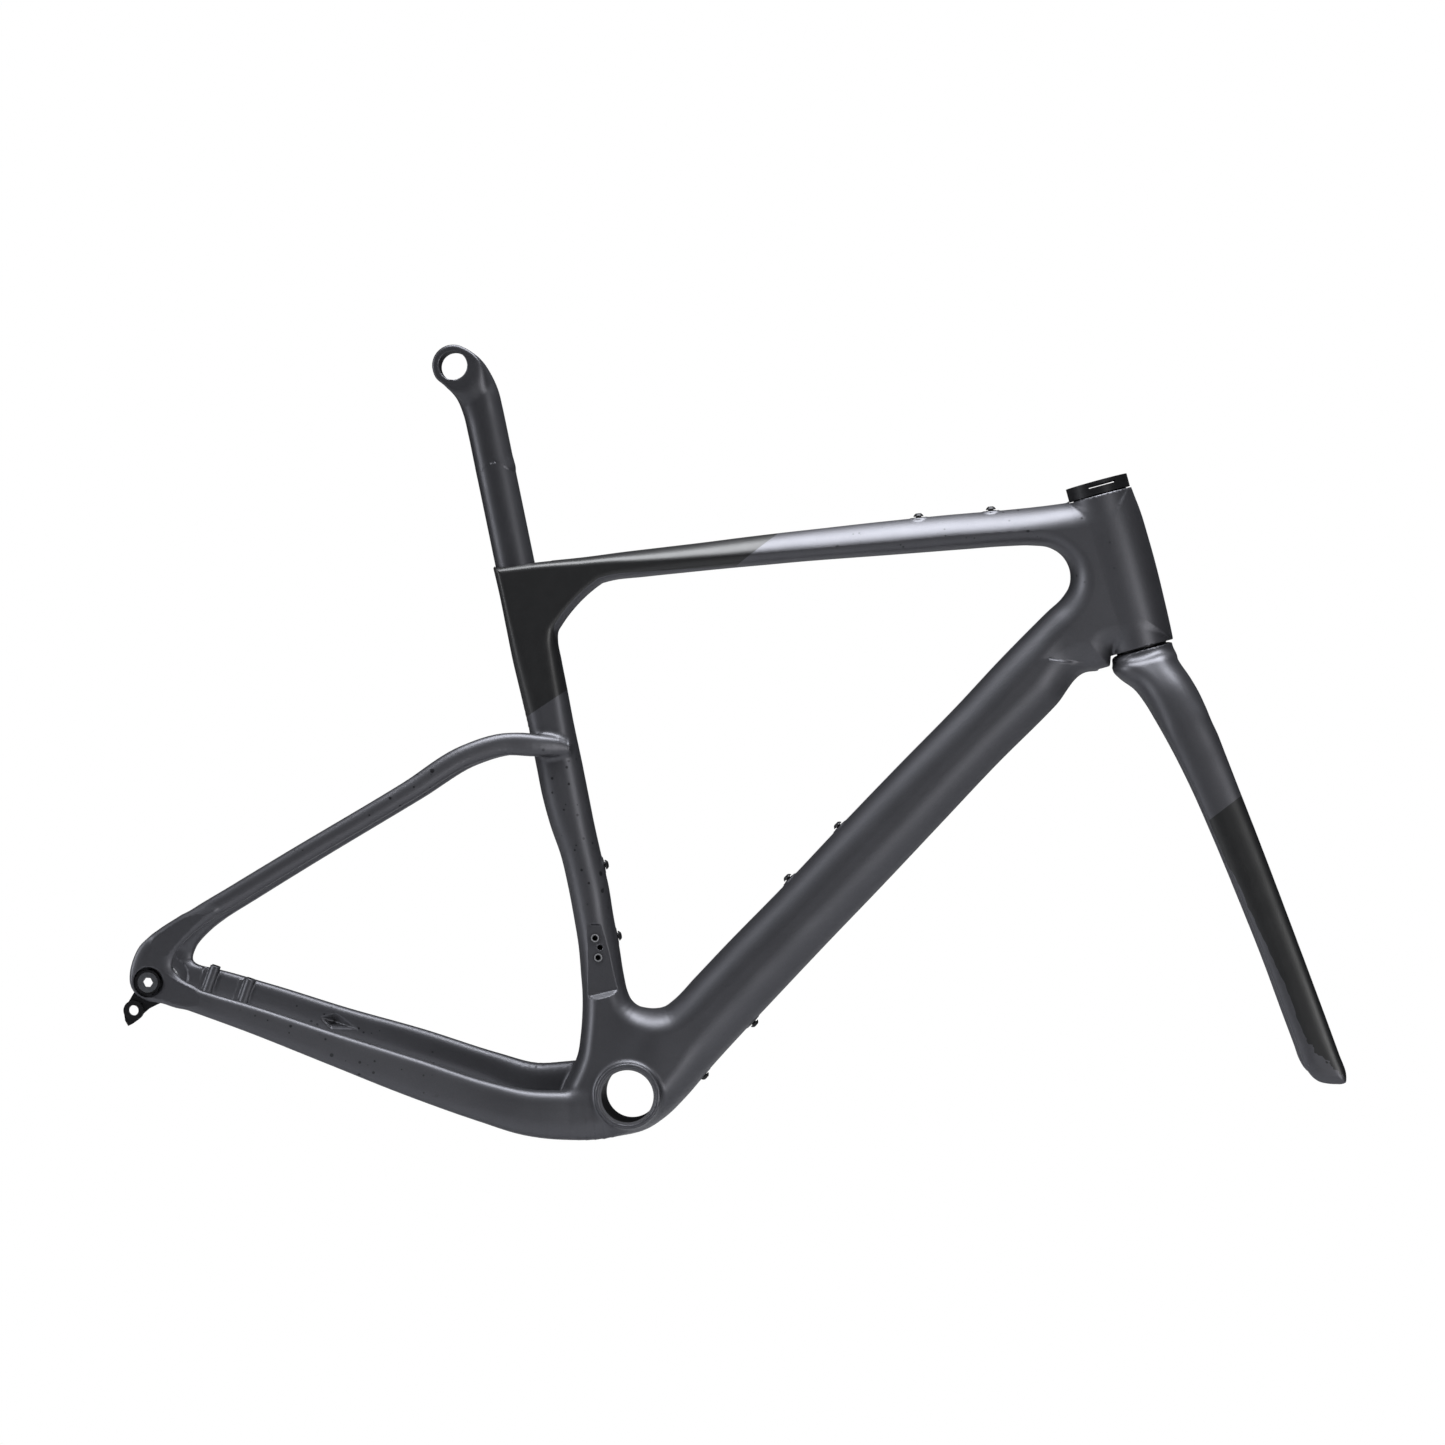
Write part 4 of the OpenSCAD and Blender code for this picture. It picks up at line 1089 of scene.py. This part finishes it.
def sleeve_finish():
    """Machined end rings round a bore painted near-black as painted shade."""
    m = Paint("bore_sleeve")
    face = m.ramp(m.math("ABSOLUTE", m.y), 42.9, 43.15)
    tone = m.mix(m.noise(0.5, 3.0), (0.11, 0.11, 0.118), (0.15, 0.15, 0.16))
    # painted shade: away from the machined end faces the bore is near-black, standing in for the dark inside
    # it
    return m.set(Base_Color=m.mix(face, (0.003, 0.003, 0.003), tone), Metallic=m.mul(face, 0.7),
                 Roughness=m.blend(m.noise(0.6, 3.0), 0.4, 0.55), Normal=m.bump(m.noise(2.0), 0.00001, 0.2))


def axle_bolt_finish():
    """Black bolt face with a machined ring and short, plain marks round it."""
    m = Paint("axle_bolt")
    r = from_axis(m, REAR_AXLE)
    angle = m.math("ARCTAN2", m.sub(m.z, REAR_AXLE[1]), m.sub(m.x, REAR_AXLE[0]))
    marks = m.ramp(m.math("SINE", m.mul(angle, 14.0)), 0.2, 0.5)
    ring = m.mul(band(m, r, 6.6, 8.2, 0.12), m.blend(marks, 0.55, 1.0))
    ring = m.high(ring, band(m, r, 9.2, 9.9, 0.12))
    tone = m.mix(ring, (0.016, 0.016, 0.017), (0.5, 0.5, 0.51))
    return m.set(Base_Color=tone, Metallic=0.3, Roughness=m.blend(m.noise(0.7, 3.0), 0.3, 0.42))


def dress(obj, material):
    obj.data.materials.clear()
    obj.data.materials.append(material)


dress(frame_shell, frame_paint())
dress(fork_shell, fork_paint())
dress(post_shell, carbon_paint("post_carbon"))
BLACK_ALLOY = metal("black_alloy", (0.022, 0.022, 0.024), (0.012, 0.012, 0.013), 0.34, 0.6)
TURNED = metal("turned_alloy", (0.50, 0.51, 0.53), (0.36, 0.37, 0.39), 0.28, 1.0, brush=1.0)
STEEL = metal("ground_steel", (0.60, 0.61, 0.63), (0.42, 0.43, 0.45), 0.2)
INNER = carbon_paint("steerer_carbon")
FINISH = {"black_alloy": BLACK_ALLOY, "plain_alloy": TURNED, "steel": STEEL}
slots = {part["node"]: part["material_slot"] for part in frame["record"]["subparts"]}
OWN = {"front_derailleur_rivnuts": rivnut_finish(), "bb_sleeve": sleeve_finish(),
       "rear_axle_insert": axle_bolt_finish()}
for name, obj in nodes.items():
    for slot in obj.material_slots:
        slot.material = OWN.get(name) or FINISH.get(slots[name], INNER)

# ---- Stage, lights and camera ----

world = bpy.data.worlds.new("studio")
bpy.context.scene.world = world
world.use_nodes = True
wt = world.node_tree
bg = wt.nodes["Background"]
lp = wt.nodes.new("ShaderNodeLightPath")
mix = wt.nodes.new("ShaderNodeMix")
mix.data_type = "RGBA"
mix.inputs["A"].default_value = (0.035, 0.036, 0.04, 1)
mix.inputs["B"].default_value = (1, 1, 1, 1)
wt.links.new(lp.outputs["Is Camera Ray"], mix.inputs["Factor"])
wt.links.new(mix.outputs["Result"], bg.inputs["Color"])


def area(name, place, target, size, power, colour=(1, 1, 1)):
    data = bpy.data.lights.new(name, "AREA")
    data.shape = "RECTANGLE"
    data.size, data.size_y = size
    data.energy = power
    data.color = colour
    o = bpy.data.objects.new(name, data)
    bpy.context.scene.collection.objects.link(o)
    o.location = place
    o.rotation_mode = "QUATERNION"
    o.rotation_quaternion = (Vector(target) - Vector(place)).to_track_quat("-Z", "Y")


FAR, DOWN = 14, -0.27   # reach and height of the floor, in metres
floor_mesh = bpy.data.meshes.new("floor")
floor_mesh.from_pydata([(-FAR, -FAR, DOWN), (FAR, -FAR, DOWN), (FAR, FAR, DOWN), (-FAR, FAR, DOWN)],
                       [], [(0, 1, 2, 3)])
floor = bpy.data.objects.new("floor", floor_mesh)
bpy.context.scene.collection.objects.link(floor)
pale = bpy.data.materials.new("pale_floor")
pale.use_nodes = True
pt = pale.node_tree
seen = pt.nodes.new("ShaderNodeLightPath")
glow = pt.nodes.new("ShaderNodeEmission")
glow.inputs["Color"].default_value = (1, 1, 1, 1)
pick = pt.nodes.new("ShaderNodeMixShader")
pt.nodes["Principled BSDF"].inputs["Base Color"].default_value = (0.55, 0.55, 0.555, 1)
pt.nodes["Principled BSDF"].inputs["Roughness"].default_value = 1.0
pt.links.new(seen.outputs["Is Camera Ray"], pick.inputs[0])
pt.links.new(pt.nodes["Principled BSDF"].outputs[0], pick.inputs[1])
pt.links.new(glow.outputs[0], pick.inputs[2])
pt.links.new(pick.outputs[0], pt.nodes["Material Output"].inputs["Surface"])
floor_mesh.materials.append(pale)

MIDDLE = (0.08, 0.0, 0.26)   # where the lights point
area("overhead", (0.1, -0.25, 1.8), MIDDLE, (1.6, 1.0), 66, (0.95, 0.97, 1.0))
area("left_strip", (-2.6, -0.9, 0.75), MIDDLE, (0.4, 1.8), 30, (0.95, 0.97, 1.0))
area("right_panel", (1.9, -2.4, 0.1), MIDDLE, (0.8, 1.2), 28)

CAMERA_PLACE = (0.3, -6.0, 0.35)
YAW, PITCH, ROLL = 2.291, -0.161, 3.794   # degrees
cam_data = bpy.data.cameras.new("camera")
cam_data.sensor_width = 36.0
cam_data.lens = 169.2
cam_data.clip_end = 50
camera = bpy.data.objects.new("camera", cam_data)
bpy.context.scene.collection.objects.link(camera)
yaw, pitch, roll = math.radians(YAW), math.radians(PITCH), math.radians(ROLL)
view = Vector((-math.sin(yaw) * math.cos(pitch), math.cos(yaw) * math.cos(pitch), math.sin(pitch)))
level = Vector((math.cos(yaw), math.sin(yaw), 0))
plumb = level.cross(view)
right = level * math.cos(roll) + plumb * math.sin(roll)
up = plumb * math.cos(roll) - level * math.sin(roll)
camera.matrix_world = Matrix.Translation(CAMERA_PLACE) @ Matrix(
    (right, up, -view)).transposed().to_4x4()
bpy.context.scene.camera = camera
bpy.context.scene.view_settings.view_transform = "Standard"
